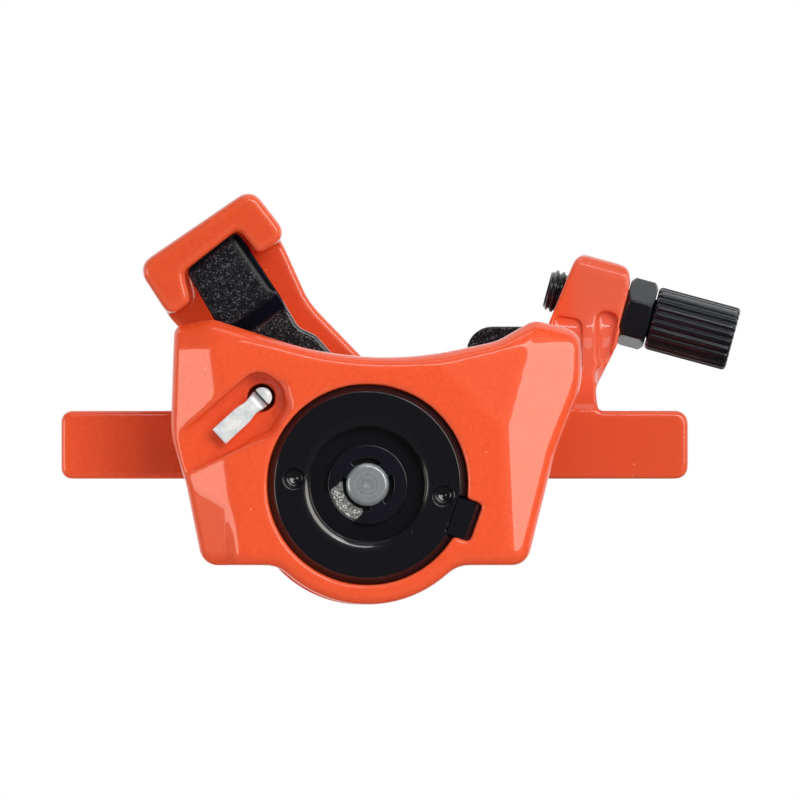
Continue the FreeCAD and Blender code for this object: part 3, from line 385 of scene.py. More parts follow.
def casting_front(points):
    """The casting's front with its top slope and low corner.

    The front surface is near face + max over the facets of slope * distance beyond the crease. A
    point is moved back by top slope * height above the lip, and likewise at the low corner, in full
    at the front surface and not at all 4 mm behind it. The hollow in the stem is filled by a share
    of its depth."""
    x, y, z = points.T
    facet = np.zeros_like(x)
    for start, end, (px, py, pz) in FACETS:
        slope = (py - NEAR_FACE_Y) / beyond(px, pz, end, start)
        facet = np.maximum(facet, slope * beyond(x, z, end, start))
    drop = TOP_SLOPE * above_zero(z - np.interp(x, *TOP_LIP), TOP_ROUNDING)
    low = LOW_CORNER_SLOPE * above_zero(-beyond(x, z, *LOW_CORNER), LOW_CORNER_ROUNDING)
    low = low * eased(LOW_CORNER_X - x, 0.0, LOW_CORNER_FADE)
    share = 1 - eased(y - NEAR_FACE_Y - facet, *FRONT_FADE)
    depth = y - np.interp(z, STEM_LEAN_Z, STEM_LEAN_Y)
    left, right, below, above = STEM_HOLLOW
    hollow = (x > left) & (x < right) & (z > below) & (z < above)
    hollow = hollow & (depth > HOLLOW_DEPTHS[0]) & (depth < HOLLOW_DEPTHS[1])
    filled = np.where(hollow, HOLLOW_FILL * depth, 0)
    return boss_top(np.stack([x, y + (drop + low) * share - filled, z], axis=1))


def boss_top(points):
    """The boss's top squared up, and the stem's front filled out where it stops leaning.

    With q = height above the round's start / half width, the section (1 - q squared)^(1/2) becomes
    (1 - q^n)^(1/n). The fill is slope * (above_zero(bend - z) - max(bend - z, 0))."""
    x, y, z = points.T
    tilt = math.radians(ADJUSTER_TILT)
    from_x, from_z = x - ADJUSTER_POINT[0], z - ADJUSTER_POINT[2]
    along = from_x * math.cos(tilt) - from_z * math.sin(tilt)
    rise = from_x * math.sin(tilt) + from_z * math.cos(tilt) - BOSS_RISE
    side = y - ADJUSTER_POINT[1]
    q = np.clip(rise / BOSS_HALF, 0, BOSS_TOP_LIMIT)
    wider = (1 - q ** BOSS_SQUARENESS) ** (1 / BOSS_SQUARENESS) / np.sqrt(1 - q ** 2)
    boss = (along > BOSS_ENDS[0]) & (along < BOSS_ENDS[1])
    boss = boss & (np.abs(side) < BOSS_HALF + BOSS_SIDE_SLACK)
    depth = y - np.interp(z, STEM_LEAN_Z, STEM_LEAN_Y)
    below = STEM_LEAN_Z[1] - z
    fill = STEM_SLOPE * (above_zero(below, STEM_FILLET) - np.maximum(below, 0))
    stem = (x > STEM_X) & (depth > -STEM_FRONT_SLACK) & (z > STEM_Z)
    share = np.where(stem, 1 - eased(depth, *STEM_FADE), 0)
    new_y = ADJUSTER_POINT[1] + side * np.where(boss, wider, 1) - fill * share
    return np.stack([x, new_y, z], axis=1)


def soft_mesh(node, voxel, passes, cutters=(), reshape=None, keep=1.0):
    """A CAD node rebuilt from small even faces and smoothed, so that its edges are rounded.

    voxel is the faces' size, passes is how often they are smoothed, reshape moves points first, and
    keep is the share of the faces that is left in the end. The point attribute "edge" holds how far
    smoothing moved a point, in voxels, signed so that it is above zero on outer edges and below zero
    in inner corners."""
    made = linked(node + "_soft", cad_mesh(node))
    for cutter in cutters:
        cut = made.modifiers.new("cut", "BOOLEAN")
        cut.operation = "DIFFERENCE"
        cut.solver = "EXACT"
        cut.object = cutter
    remesh = made.modifiers.new("even", "REMESH")
    remesh.mode = "VOXEL"
    remesh.voxel_size = voxel * MM
    mesh = applied(made)
    points = np.empty(len(mesh.vertices) * 3, np.float32)
    mesh.vertices.foreach_get("co", points)
    edges = np.empty(len(mesh.edges) * 2, np.int32)
    mesh.edges.foreach_get("vertices", edges)
    rough = points.reshape(-1, 3).astype(float) / MM
    if reshape:
        rough = reshape(rough)
    soft = smoothed(rough, edges.reshape(-1, 2), passes)
    normals = np.empty(len(mesh.vertices) * 3, np.float32)
    mesh.vertex_normals.foreach_get("vector", normals)
    lowered = ((rough - soft) * normals.reshape(-1, 3)).sum(axis=1) / voxel
    mesh.vertices.foreach_set("co", (soft * MM).astype(np.float32).ravel())
    edge = mesh.attributes.new("edge", "FLOAT", "POINT")
    edge.data.foreach_set("value", lowered.astype(np.float32))
    mesh.polygons.foreach_set("use_smooth", np.ones(len(mesh.polygons), dtype=bool))
    mesh.update()
    if keep == 1.0:
        return mesh
    made = linked(node + "_thinned", mesh)
    thin = made.modifiers.new("thin", "DECIMATE")
    thin.ratio = keep
    return applied(made)


def full_turn(columns):
    """Even angles round a circle."""
    return np.arange(columns) * 2 * math.pi / columns


def turned(profile, columns, wobble=None):
    """Closed surface of revolution about the Y axis from a closed profile of (radius, y).

    A point is (r cos t, y, r sin t). wobble may move the points, and gets x, y and z."""
    turn = full_turn(columns)
    radius, y = profile[:, 0][:, None], profile[:, 1][:, None]
    x, z = radius * np.cos(turn), radius * np.sin(turn)
    y = np.broadcast_to(y, x.shape)
    if wobble:
        y = wobble(x, y, z)
    points = np.stack([x, y, z], axis=-1).reshape(-1, 3)
    return points, grid_faces(len(profile), columns, True, True)


def cap_mesh():
    """Screwed cap: a turned profile, pressed in by two dimples and by the notch at its rim.

    A dimple is a rounded wall, a shallow cone and a small pit where the drill's tip went, whose depth
    is deepest * exp(-(distance / width) squared). The notch is the part of the rim within a half
    width of the tilted line and beyond the inner radius."""
    front = evenly_spaced(rounded_profile(CAP_PROFILE, closed=False, step=0.08), 0.2)
    profile = np.concatenate([front, CAP_BACK])
    tilt = math.radians(-NOTCH_TILT)

    def press(x, y, z):
        depth = np.zeros_like(x)
        for cx, cz in CAP_DIMPLES:
            away = np.hypot(x - cx, z - cz)
            wall = DIMPLE_WALL * (1 - eased(away, DIMPLE_R - DIMPLE_ROUNDING, DIMPLE_R))
            cone = DIMPLE_CONE * np.clip(DIMPLE_R - DIMPLE_ROUNDING - away, 0, None)
            tip = DRILL_TIP[0] * np.exp(-(away / DRILL_TIP[1]) ** 2)
            depth = np.maximum(depth, wall + cone + tip)
        along = x * math.cos(tilt) + z * math.sin(tilt)
        across = -x * math.sin(tilt) + z * math.cos(tilt)
        cut = eased(along, NOTCH_INNER - NOTCH_EDGE, NOTCH_INNER + NOTCH_EDGE)
        cut = cut * (1 - eased(np.abs(across), NOTCH_HALF - NOTCH_EDGE, NOTCH_HALF + NOTCH_EDGE))
        depth = np.maximum(depth, cut * (NOTCH_FLOOR_Y - CAP_FRONT_Y))
        limit, deepest = CAP_PRESSED_Y
        return np.where(y < limit, np.minimum(np.maximum(y, CAP_FRONT_Y + depth), deepest), y)

    points, faces = turned(profile, columns=540, wobble=press)
    return closed_outward(mesh_from("screw_cap", points, faces))


def along_adjuster(along, radius, turn):
    """Points at a distance along the adjuster's axis, at a radius and an angle round it."""
    tilt = math.radians(ADJUSTER_TILT)
    side, up = radius * np.cos(turn), radius * np.sin(turn)
    x = ADJUSTER_POINT[0] + along * math.cos(tilt) + up * math.sin(tilt)
    z = ADJUSTER_POINT[2] - along * math.sin(tilt) + up * math.cos(tilt)
    return np.stack([x, ADJUSTER_POINT[1] + side, z], axis=-1)


def adjuster_mesh(name, along, radius, turn):
    """Closed piece round the adjuster's axis from a grid of radii, rows along and columns round."""
    points = along_adjuster(along[:, None] + 0 * radius, radius, turn + 0 * radius)
    faces = grid_faces(len(along), len(turn), True, True)
    return closed_outward(mesh_from(name, points.reshape(-1, 3), faces))


def thread_shape(phase):
    """Rounded saw profile of a thread: 1 on the crest and 0 at the root, phase in turns."""
    wave = 0.5 + 0.5 * np.cos(2 * math.pi * phase)
    return eased(wave, *THREAD_FLANK)


def barrel_mesh():
    """Threaded tube: outside, radius = major - depth * (1 - thread(along / pitch - turn / 360)).

    The thread ends in a chamfer at the tail. Inside is the cable's bore and the housing's socket."""
    rows_per_turn, columns = 10, 96
    tail, mouth = BARREL_ENDS
    outer = np.arange(tail, mouth, THREAD_PITCH / rows_per_turn)
    floor = mouth - SOCKET_DEPTH
    along = np.concatenate([outer, [mouth, floor, floor, tail]])
    inner = [SOCKET_R, SOCKET_R, CABLE_R, CABLE_R]
    radius = np.concatenate([np.full(len(outer), BARREL_R), inner])[:, None]
    is_outer = (np.arange(len(along)) < len(outer))[:, None]
    turn = full_turn(columns)
    phase = along[:, None] / THREAD_PITCH - turn / (2 * math.pi)
    groove = THREAD_DEPTH * (1 - thread_shape(phase))
    depth, length = BARREL_CHAMFER
    chamfer = depth * (1 - eased(along, tail, tail + length))[:, None]
    radius = radius - np.where(is_outer, np.maximum(groove, chamfer), 0)
    return adjuster_mesh("barrel", along, radius, turn)


def knob_mesh():
    """Fluted knob: radius = outer - depth * groove(turn), where groove is a narrow rounded valley
    between ribs, and both ends are rounded over a quarter circle."""
    start, end = KNOB_ENDS
    corner_rows, side_rows, rib_columns, sharpness = 7, 40, 16, 5
    corner = np.linspace(0, math.pi / 2, corner_rows)
    sunk, moved = KNOB_ROUNDING * (1 - np.sin(corner)), KNOB_ROUNDING * np.cos(corner)
    side_start, side_end = start + KNOB_ROUNDING, end - KNOB_ROUNDING
    side = np.linspace(side_start, side_end, side_rows)[1:-1]
    outside = np.concatenate([side_start - moved, side, side_end + moved[::-1]])
    drop = np.concatenate([sunk, np.zeros(len(side)), sunk[::-1]])
    mouth_r, bore_r, seat_r, foot_r = KNOB_INSIDE
    face, seat = end - KNOB_FACE_SLOPE, BARREL_ENDS[1]
    inside = np.array([
        (face, mouth_r), (face, bore_r), (seat, bore_r), (seat, seat_r), (start, seat_r),
        (start, foot_r),
    ])
    turn = full_turn(KNOB_RIBS * rib_columns)
    valley = np.abs(np.cos(KNOB_RIBS * turn / 2)) ** sharpness
    ribbed = KNOB_R - drop[:, None] - KNOB_GROOVE * valley
    radius = np.concatenate([ribbed, inside[:, 1:] + 0 * turn])
    return adjuster_mesh("knob", np.concatenate([outside, inside[:, 0]]), radius, turn)


def pin_line():
    """Line of the split pin as (a, y), with a along the bend: short leg, eye, long leg, bend, end.

    The eye is centre + radius * (cos t, sin t), the bend a quarter circle, and the corners where the
    eye meets the legs are smoothed by weights of 1, 2 and 1."""
    steps, bend_steps, end_steps, passes = 60, 14, 30, 3
    eye = np.radians(np.linspace(*PIN_EYE_TURN, steps))
    bend = np.linspace(0, math.pi / 2, bend_steps)
    bend_start_y = PIN_FLAT_Y + PIN_BEND_R
    short_leg = [np.full(steps, -PIN_GAP), np.linspace(PIN_SHORT_END_Y, PIN_EYE_START_Y, steps)]
    round_eye = [PIN_EYE_R * np.cos(eye), PIN_EYE_Y + PIN_EYE_R * np.sin(eye)]
    long_leg = [np.full(steps, PIN_GAP), np.linspace(PIN_EYE_START_Y, bend_start_y, steps)]
    bent = [PIN_GAP + PIN_BEND_R * (1 - np.cos(bend)), PIN_FLAT_Y + PIN_BEND_R * (1 - np.sin(bend))]
    end_a = np.linspace(PIN_GAP + PIN_BEND_R, PIN_LONG_END, end_steps)
    end = [end_a, np.full(end_steps, PIN_FLAT_Y)]
    parts = [np.stack(part, axis=1) for part in (short_leg, round_eye, long_leg, bent, end)]
    line = np.concatenate(parts[:3] + [part[1:] for part in parts[3:]])
    first, last = steps - 2, 2 * steps + 2
    for _ in range(passes):
        around = line[first - 1:last - 1] + line[first + 1:last + 1]
        line[first:last] = (around + 2 * line[first:last]) / 4
    return line


def pin_mesh():
    """Split pin of half-round wire, bent in one plane along its line.

    The section at each point is flat on the side of the line's left normal and a half circle on the
    other. It narrows by 1 - share * exp(-((a - middle) / width) squared) just after the bend."""
    line = pin_line()
    way = np.gradient(line, axis=0)
    way /= np.linalg.norm(way, axis=1)[:, None]
    flat_side = np.stack([way[:, 1], -way[:, 0]], axis=1)
    arc_points, flat_points, long_leg_start = 25, 9, 0.6
    arc = np.linspace(0, math.pi, arc_points)
    flat = np.linspace(-PIN_R, PIN_R, flat_points)[1:-1]
    width = np.concatenate([PIN_R * np.cos(arc), flat])
    depth = np.concatenate([-PIN_R * np.sin(arc), np.full(len(flat), PIN_FLAT_LIFT)])
    long_leg = np.arange(len(line)) / len(line) > long_leg_start
    share, middle, spread = PIN_NECK
    neck = 1 - share * np.exp(-((line[:, 0] - middle) / spread) ** 2) * long_leg
    in_plane = line[:, None, :] + flat_side[:, None, :] * depth[None, :, None]
    across = width[None, :] * neck[:, None]
    a, y = in_plane[..., 0], in_plane[..., 1]
    tilt = math.radians(PIN_BEND_TILT)
    x = PIN_X - a * math.cos(tilt) + across * math.sin(tilt)
    z = PIN_Z - a * math.sin(tilt) - across * math.cos(tilt)
    points, faces = capped_tube(np.stack([x, y, z], axis=-1))
    return closed_outward(mesh_from("split_pin", points, faces))


def pin_mouth():
    """Cutter for the open mouth of the split pin's hole: a cylinder, (r cos t, y, r sin t) about the
    pin, almost closed at its ends."""
    tiny_r = 0.01
    front, back = PIN_MOUTH_Y
    profile = np.array([(tiny_r, front), (PIN_MOUTH_R, front), (PIN_MOUTH_R, back), (tiny_r, back)])
    points, faces = turned(profile, columns=48)
    mesh = mesh_from("pin_mouth", points + (PIN_X, 0, PIN_Z), faces)
    return linked("pin_mouth", closed_outward(mesh))


def scoop():
    """Cutter for the trough round the split pin: a profile carried round a convex core.

    At an angle t a point is the core corner that reaches furthest that way, plus r (cos t, sin t),
    and r grows towards the front, so the trough has sloping sides and a rounded lip."""
    core = np.array(TROUGH_CORE)
    profile = rounded_profile(TROUGH_SECTION, closed=False)
    turn = np.radians(np.arange(0, 360, TROUGH_STEP))
    way = np.stack([np.cos(turn), np.sin(turn)], axis=1)
    furthest = core[np.argmax(way @ core.T, axis=1)]
    flat = furthest[None] + profile[:, 0][:, None, None] * way[None]
    y = np.broadcast_to(profile[:, 1][:, None], flat.shape[:2])
    points, faces = capped_tube(np.stack([flat[..., 0], y, flat[..., 1]], axis=-1))
    return linked("scoop", closed_outward(mesh_from("scoop", points, faces)))


def arm_end(points):
    """The arm's head with a crowned front, and its end moved on by ARM_END_SHIFT.

    With d the distance to the nearest of the head's three edges, a point of the front is lowered by
    ARM_CROWN times a smooth step in d, from 1 at the first of ARM_CROWN_WIDTH to 0 at the second. The
    end moves in full at its edge and not at all ARM_END_FADE before it."""
    x, y, z = points.T
    along = x * ARM_END_WAY[0] + z * ARM_END_WAY[1]
    across = x * ARM_END_WAY[1] - z * ARM_END_WAY[0]
    to_end = ARM_END + ARM_END_LEAN * across - along
    right, left = ARM_HEAD_SIDES
    to_side = np.minimum(right - across, across + left + ARM_HEAD_TAPER * (ARM_END - along))
    lowered = ARM_CROWN * (1 - eased(np.minimum(to_end, to_side), *ARM_CROWN_WIDTH))
    lowered = lowered * eased(along, *ARM_HEAD_START)
    lowered = lowered * (1 - eased(y - ARM_HEAD_Y, *ARM_CROWN_DEPTHS))
    shift = ARM_END_SHIFT * eased(along, ARM_END - ARM_END_FADE, ARM_END)
    return np.stack([x + shift * ARM_END_WAY[0], y + lowered, z + shift * ARM_END_WAY[1]], axis=1)


def spindle_end(points):
    """The spindle with its centre mark made as shallow as a light punch leaves it."""
    x, y, z = points.T
    front = y.min()
    marked = (np.hypot(x, z) < MARK_R) & (y < front + MARK_DEPTH)
    return np.stack([x, np.where(marked, front + MARK_KEPT * (y - front), y), z], axis=1)


def new_group(name, inputs, outputs):
    """Shader node group with its sockets, and its input and output nodes."""
    group = bpy.data.node_groups.new(name, "ShaderNodeTree")
    for socket, kind, value in inputs:
        made = group.interface.new_socket(socket, in_out="INPUT", socket_type=kind)
        if value is not None:
            made.default_value = value
    for socket, kind in outputs:
        group.interface.new_socket(socket, in_out="OUTPUT", socket_type=kind)
    return group, group.nodes.new("NodeGroupInput"), group.nodes.new("NodeGroupOutput")


def plug(tree, socket, value):
    """Link another socket to this one, or set it to a value."""
    if isinstance(value, bpy.types.NodeSocket):
        tree.links.new(value, socket)
    else:
        socket.default_value = value


def add(tree, kind, links=(), **settings):
    """Node with its settings, and its inputs set to values or linked to sockets."""
    node = tree.nodes.new(kind)
    for name, value in settings.items():
        setattr(node, name, value)
    for key, value in dict(links).items():
        plug(tree, node.inputs[key], value)
    return node


def use(tree, group, links):
    """Node that uses a group, with its inputs set or linked."""
    node = tree.nodes.new("ShaderNodeGroup")
    node.node_tree = group
    for key, value in links.items():
        plug(tree, node.inputs[key], value)
    return node


def math_node(tree, operation, a, b=0.0):
    """Value of one step of arithmetic."""
    return add(tree, "ShaderNodeMath", {0: a, 1: b}, operation=operation).outputs[0]


def product(tree, *factors):
    """Product of two or more values."""
    result = factors[0]
    for factor in factors[1:]:
        result = math_node(tree, "MULTIPLY", result, factor)
    return result


def ranged(tree, value, low, high, to_low=0.0, to_high=1.0):
    """Value mapped from one range to another, held at the ends."""
    links = {"Value": value, "From Min": low, "From Max": high, "To Min": to_low, "To Max": to_high}
    return add(tree, "ShaderNodeMapRange", links).outputs["Result"]


def mixed(tree, factor, a, b):
    """Colour between a and b, where a plain colour has three parts."""
    factor_socket, a_socket, b_socket, colour_socket = 0, 6, 7, 2
    node = add(tree, "ShaderNodeMix", data_type="RGBA")
    for index, value in ((factor_socket, factor), (a_socket, a), (b_socket, b)):
        plug(tree, node.inputs[index], (*value, 1) if isinstance(value, tuple) else value)
    return node.outputs[colour_socket]


def specks_group():
    """Scattered round specks: 1 inside a speck, from the distance to random cell centres, with most
    cells left out by their own random value."""
    group, ins, outs = new_group(
        "scattered_specks",
        [("Vector", "NodeSocketVector", None), ("Scale", "NodeSocketFloat", 900.0),
         ("Size", "NodeSocketFloat", 0.25), ("Share", "NodeSocketFloat", 0.3)],
        [("Mask", "NodeSocketFloat")],
    )
    places = {"Vector": ins.outputs["Vector"], "Scale": ins.outputs["Scale"]}
    cells = add(group, "ShaderNodeTexVoronoi", places)
    near = math_node(group, "LESS_THAN", cells.outputs["Distance"], ins.outputs["Size"])
    parts = add(group, "ShaderNodeSeparateColor", {"Color": cells.outputs["Color"]})
    chosen = math_node(group, "LESS_THAN", parts.outputs[0], ins.outputs["Share"])
    group.links.new(product(group, near, chosen), outs.inputs["Mask"])
    return group


def grain_group():
    """Height of a sprayed or cast surface: broad waves and fine grain, added by weight."""
    group, ins, outs = new_group(
        "surface_grain",
        [("Vector", "NodeSocketVector", None), ("Broad Scale", "NodeSocketFloat", 400.0),
         ("Fine Scale", "NodeSocketFloat", 2500.0), ("Fine Weight", "NodeSocketFloat", 0.3)],
        [("Height", "NodeSocketFloat"), ("Tone", "NodeSocketFloat")],
    )
    place = ins.outputs["Vector"]
    broad = add(group, "ShaderNodeTexNoise", {
        "Vector": place, "Scale": ins.outputs["Broad Scale"], "Detail": 1.5, "Roughness": 0.4,
    })
    fine = add(group, "ShaderNodeTexNoise", {
        "Vector": place, "Scale": ins.outputs["Fine Scale"], "Detail": 2.0, "Roughness": 0.6,
    })
    weighed = product(group, fine.outputs[0], ins.outputs["Fine Weight"])
    group.links.new(math_node(group, "ADD", broad.outputs[0], weighed), outs.inputs["Height"])
    group.links.new(fine.outputs[0], outs.inputs["Tone"])
    return group


class Finish:
    """Material with a Principled shader, and the steps by which its colour and bump are built up.

    The shader's plain settings are put on its sockets. grain is its broad scale, fine scale and
    fine weight."""

    def __init__(self, name, grain, **settings):
        self.material = bpy.data.materials.new(name)
        self.material.use_nodes = True
        self.tree = self.material.node_tree
        self.shader = self.tree.nodes["Principled BSDF"]
        for key, value in settings.items():
            socket = key.replace("_", " ").title().replace("Ior", "IOR")
            self.shader.inputs[socket].default_value = value
        self.place = add(self.tree, "ShaderNodeTexCoord").outputs["Object"]
        broad, fine, weight = grain
        links = {"Vector": self.place, "Broad Scale": broad, "Fine Scale": fine, "Fine Weight": weight}
        cast = use(self.tree, GRAIN, links)
        self.height, self.tone = cast.outputs["Height"], cast.outputs["Tone"]
        self.colour = None

    def axes(self):
        """The place's x, y and z, in metres."""
        return add(self.tree, "ShaderNodeSeparateXYZ", {"Vector": self.place}).outputs

    def tones(self, low, high, spread=None, tone=None):
        """Start the colour between two tones, by the grain or another tone, which may be spread."""
        factor = self.tone if tone is None else tone
        if spread:
            factor = ranged(self.tree, factor, *spread)
        self.colour = mixed(self.tree, factor, low, high)

    def over(self, mask, share, colour):
        """Lay a share of another colour over the colour, where the mask is 1."""
        factor = mask if share == 1 else product(self.tree, mask, share)
        self.colour = mixed(self.tree, factor, self.colour, colour)

    def specks(self, scale, size, share):
        """Mask of scattered specks."""
        links = {"Vector": self.place, "Scale": scale, "Size": size, "Share": share}
        return use(self.tree, SPECKS, links).outputs[0]

    def edges(self, low, high):
        """Mask of the outer edges that smoothing has rounded."""
        attribute = add(self.tree, "ShaderNodeAttribute", attribute_name="edge")
        return ranged(self.tree, attribute.outputs["Fac"], low, high)

    def drive(self, socket, value):
        """Let a value that varies over the surface drive a socket of the shader."""
        self.tree.links.new(value, self.shader.inputs[socket])

    def done(self, bump=None, height=None):
        """Put the colour on the shader, and a bump of (strength, distance in metres)."""
        self.drive("Base Color", self.colour)
        if bump:
            height = self.height if height is None else height
            links = {"Height": height, "Strength": bump[0], "Distance": bump[1]}
            self.drive("Normal", add(self.tree, "ShaderNodeBump", links).outputs["Normal"])
        return self.material


def orange(name, low, high):
    """Glossy orange enamel between two tones, with dust specks. A paler tone on the adjuster's boss is
    a painted reflection, a paler tone on rounded edges is a painted highlight, and a deeper tone on
    the right ear is painted shade."""
    boss_reflection_x, boss_reflection_z = (0.0315, 0.0345), (0.015, 0.021)
    ear_shade_x, ear_shade_y, ear_shade_z = (0.02, 0.024), (-0.01, -0.004), (0.017, 0.013)
    look = Finish(name, grain=(260.0, 1500.0, 0.1), roughness=0.36, specular_ior_level=0.4,
                  coat_weight=1.0, coat_roughness=0.035, coat_ior=1.5)
    look.tones(low, high, (0.3, 0.7))
    x, y, z = look.axes()
    boss = product(look.tree, ranged(look.tree, x, *boss_reflection_x), ranged(look.tree, z, *boss_reflection_z))
    ear = product(look.tree, ranged(look.tree, x, *ear_shade_x), ranged(look.tree, y, *ear_shade_y),
                  ranged(look.tree, z, *ear_shade_z))
    # Painted reflection: a paler tone on the adjuster's boss
    look.over(boss, 0.85, (0.83, 0.125, 0.062))
    # Painted shade: a deeper tone on the right ear
    look.over(ear, 1, (0.76, 0.078, 0.019))
    # Painted highlight: a paler tone on rounded edges
    look.over(look.edges(0.05, 0.6), 1, (0.94, 0.14, 0.055))
    look.over(look.specks(scale=420.0, size=0.07, share=0.16), 0.35, (0.95, 0.55, 0.4))
    return look.done(bump=(0.3, 0.00035))


def black_enamel():
    """Deep black gloss with a little dust in it."""
    look = Finish("black_enamel", grain=(300.0, 2600.0, 0.25), roughness=0.2, coat_weight=1.0,
                  coat_roughness=0.07)
    look.tones((0.006, 0.006, 0.0085), (0.01, 0.0095, 0.0135))
    look.over(look.specks(scale=700.0, size=0.09, share=0.12), 0.3, (0.16, 0.16, 0.17))
    return look.done(bump=(0.25, 0.00012))


def black_powder():
    """Black powder coat whose sparkle is painted as light specks, a painted glint. At the arm's bend,
    which faces away from the light, gloss and specks are left out, so it is darker as painted shade,
    and paler rounded edges are a painted highlight.
    """
    bend_depth, bend_half, clear = 0.01505, 0.0006, 0.0010
    look = Finish("black_powder", grain=(1700.0, 4200.0, 0.6), roughness=0.35, coat_roughness=0.08)
    # Light specks are painted glints of the coat's sparkle
    small = product(look.tree, look.specks(scale=4600.0, size=0.4, share=0.5), 0.45)
    light = math_node(look.tree, "MAXIMUM", look.specks(scale=2900.0, size=0.34, share=0.42), small)
    # At the arm's bend, which faces away from the light, gloss and glints are left out: painted shade
    ahead = math_node(look.tree, "ADD", look.axes()[1], bend_depth)
    from_bend = math_node(look.tree, "ABSOLUTE", ahead)
    facing_light = ranged(look.tree, from_bend, bend_half, clear)
    look.drive("Coat Weight", ranged(look.tree, facing_light, 0.0, 1.0, 0.0, 0.8))
    look.drive("Specular IOR Level", ranged(look.tree, facing_light, 0.0, 1.0, 0.0, 0.4))
    look.tones((0.002, 0.0026, 0.005), (0.007, 0.008, 0.0135))
    look.over(product(look.tree, light, facing_light), 0.45, (0.33, 0.34, 0.38))
    # Painted highlight: paler rounded edges
    look.over(look.edges(0.25, 0.8), 0.25, (0.3, 0.3, 0.33))
    return look.done(bump=(0.4, 0.00012))


def blued_clip():
    """Blued spring steel, with a thin gloss of oil, and paler rounded edges as a painted highlight."""
    look = Finish("blued_clip", grain=(700.0, 4000.0, 0.4), roughness=0.2, coat_weight=0.8,
                  coat_roughness=0.08)
    look.tones((0.004, 0.0045, 0.008), (0.012, 0.0125, 0.02))
    # Painted highlight: paler rounded edges
    look.over(look.edges(0.1, 0.6), 0.5, (0.12, 0.12, 0.13))
    return look.done(bump=(0.3, 0.00006))


def black_anodised():
    """Black anodised aluminium with a satin gloss, dust, and slightly worn edges."""
    look = Finish("black_anodised", grain=(800.0, 4000.0, 0.5), roughness=0.3, metallic=0.1,
                  coat_weight=1.0, coat_roughness=0.1)
    look.tones((0.001, 0.003, 0.007), (0.006, 0.011, 0.021))
    look.over(look.specks(scale=1500.0, size=0.12, share=0.1), 0.3, (0.2, 0.21, 0.24))
    look.over(look.edges(0.1, 0.6), 0.2, (0.2, 0.2, 0.22))
    look.drive("Roughness", ranged(look.tree, look.tone, 0.3, 0.7, 0.28, 0.5))
    return look.done(bump=(0.4, 0.0001))


def sintered_iron():
    """Sintered iron: bright grains and dark pores beyond 4 mm from the spindle's axis in the clip's
    open quarter, and near black elsewhere, which is painted shade under the clip and round the
    spindle."""
    unshaded_r_squared = 0.000016
    mouth_sides = ((-0.105, -0.995), (-0.982, 0.191))
    look = Finish("sintered_iron", grain=(2600.0, 6500.0, 0.8), roughness=0.5, metallic=0.3)
    pores = look.specks(scale=2500.0, size=0.42, share=0.5)
    look.tones((0.14, 0.14, 0.14), (0.5, 0.5, 0.5), (0.35, 0.65))
    look.over(look.specks(scale=2200.0, size=0.42, share=0.5), 0.85, (0.95, 0.95, 0.95))
    look.over(pores, 0.8, (0.05, 0.05, 0.05))
    x, _, z = look.axes()
    sides = [math_node(look.tree, "ADD", product(look.tree, x, a), product(look.tree, z, b))
             for a, b in mouth_sides]
    radius_squared = math_node(look.tree, "ADD", product(look.tree, x, x), product(look.tree, z, z))
    unshaded = product(look.tree, *(math_node(look.tree, "GREATER_THAN", side, 0.0) for side in sides),
                    math_node(look.tree, "GREATER_THAN", radius_squared, unshaded_r_squared))
    # Painted shade: near black outside the clip's open quarter and within 4 mm of the spindle's axis
    look.colour = mixed(look.tree, unshaded, (0.006, 0.006, 0.007), look.colour)
    height = math_node(look.tree, "SUBTRACT", look.height, pores)
    return look.done(bump=(0.7, 0.00015), height=height)


def zinc_steel():
    """Zinc-plated steel with cloudy stains."""
    look = Finish("zinc_steel", grain=(350.0, 2400.0, 0.2), roughness=0.26, metallic=1.0)
    look.tones((0.66, 0.69, 0.71), (0.82, 0.84, 0.85), (0.3, 0.7))
    look.drive("Roughness", ranged(look.tree, look.tone, 0.3, 0.7, 0.2, 0.34))
    return look.done(bump=(0.15, 0.00006))


def turned_steel():
    """Lathe-turned steel: fine rings round the Y axis, mixed with the grain."""
    rings_per_metre, ring_share = 3600.0, 0.6
    look = Finish("turned_steel", grain=(600.0, 3000.0, 0.4), roughness=0.3, metallic=0.7)
    x, _, z = look.axes()
    radius_squared = math_node(look.tree, "ADD", product(look.tree, x, x), product(look.tree, z, z))
    radius = math_node(look.tree, "SQRT", radius_squared)
    links = {"W": product(look.tree, radius, rings_per_metre), "Scale": 1.0, "Detail": 1.0}
    rings = add(look.tree, "ShaderNodeTexNoise", links, noise_dimensions="1D").outputs[0]
    tone = math_node(look.tree, "ADD", product(look.tree, rings, ring_share),
                     product(look.tree, look.tone, 1 - ring_share))
    look.tones((0.46, 0.5, 0.55), (0.68, 0.74, 0.79), (0.35, 0.65), tone)
    look.drive("Roughness", ranged(look.tree, tone, 0.3, 0.7, 0.26, 0.4))
    return look.done(bump=(0.2, 0.00004), height=tone)


def bright_zinc():
    """Bright zinc of the split pin, mottled with bluish grey."""
    look = Finish("bright_zinc", grain=(350.0, 650.0, 0.2), roughness=0.25, metallic=0.12)
    look.tones((0.66, 0.75, 0.8), (0.96, 0.99, 1.0), (0.35, 0.65))
    return look.done(bump=(0.15, 0.00006))


def ball_steel():
    """Polished balls."""
    look = Finish("ball_steel", grain=(500.0, 2500.0, 0.4), roughness=0.08, metallic=1.0)
    look.tones((0.5, 0.51, 0.53), (0.7, 0.71, 0.72))
    return look.done()


def spring_steel():
    """Bare drawn wire and strip."""
    look = Finish("spring_steel", grain=(900.0, 4500.0, 0.6), roughness=0.32, metallic=1.0)
    look.tones((0.22, 0.23, 0.24), (0.5, 0.51, 0.52))
    return look.done(bump=(0.25, 0.00005))


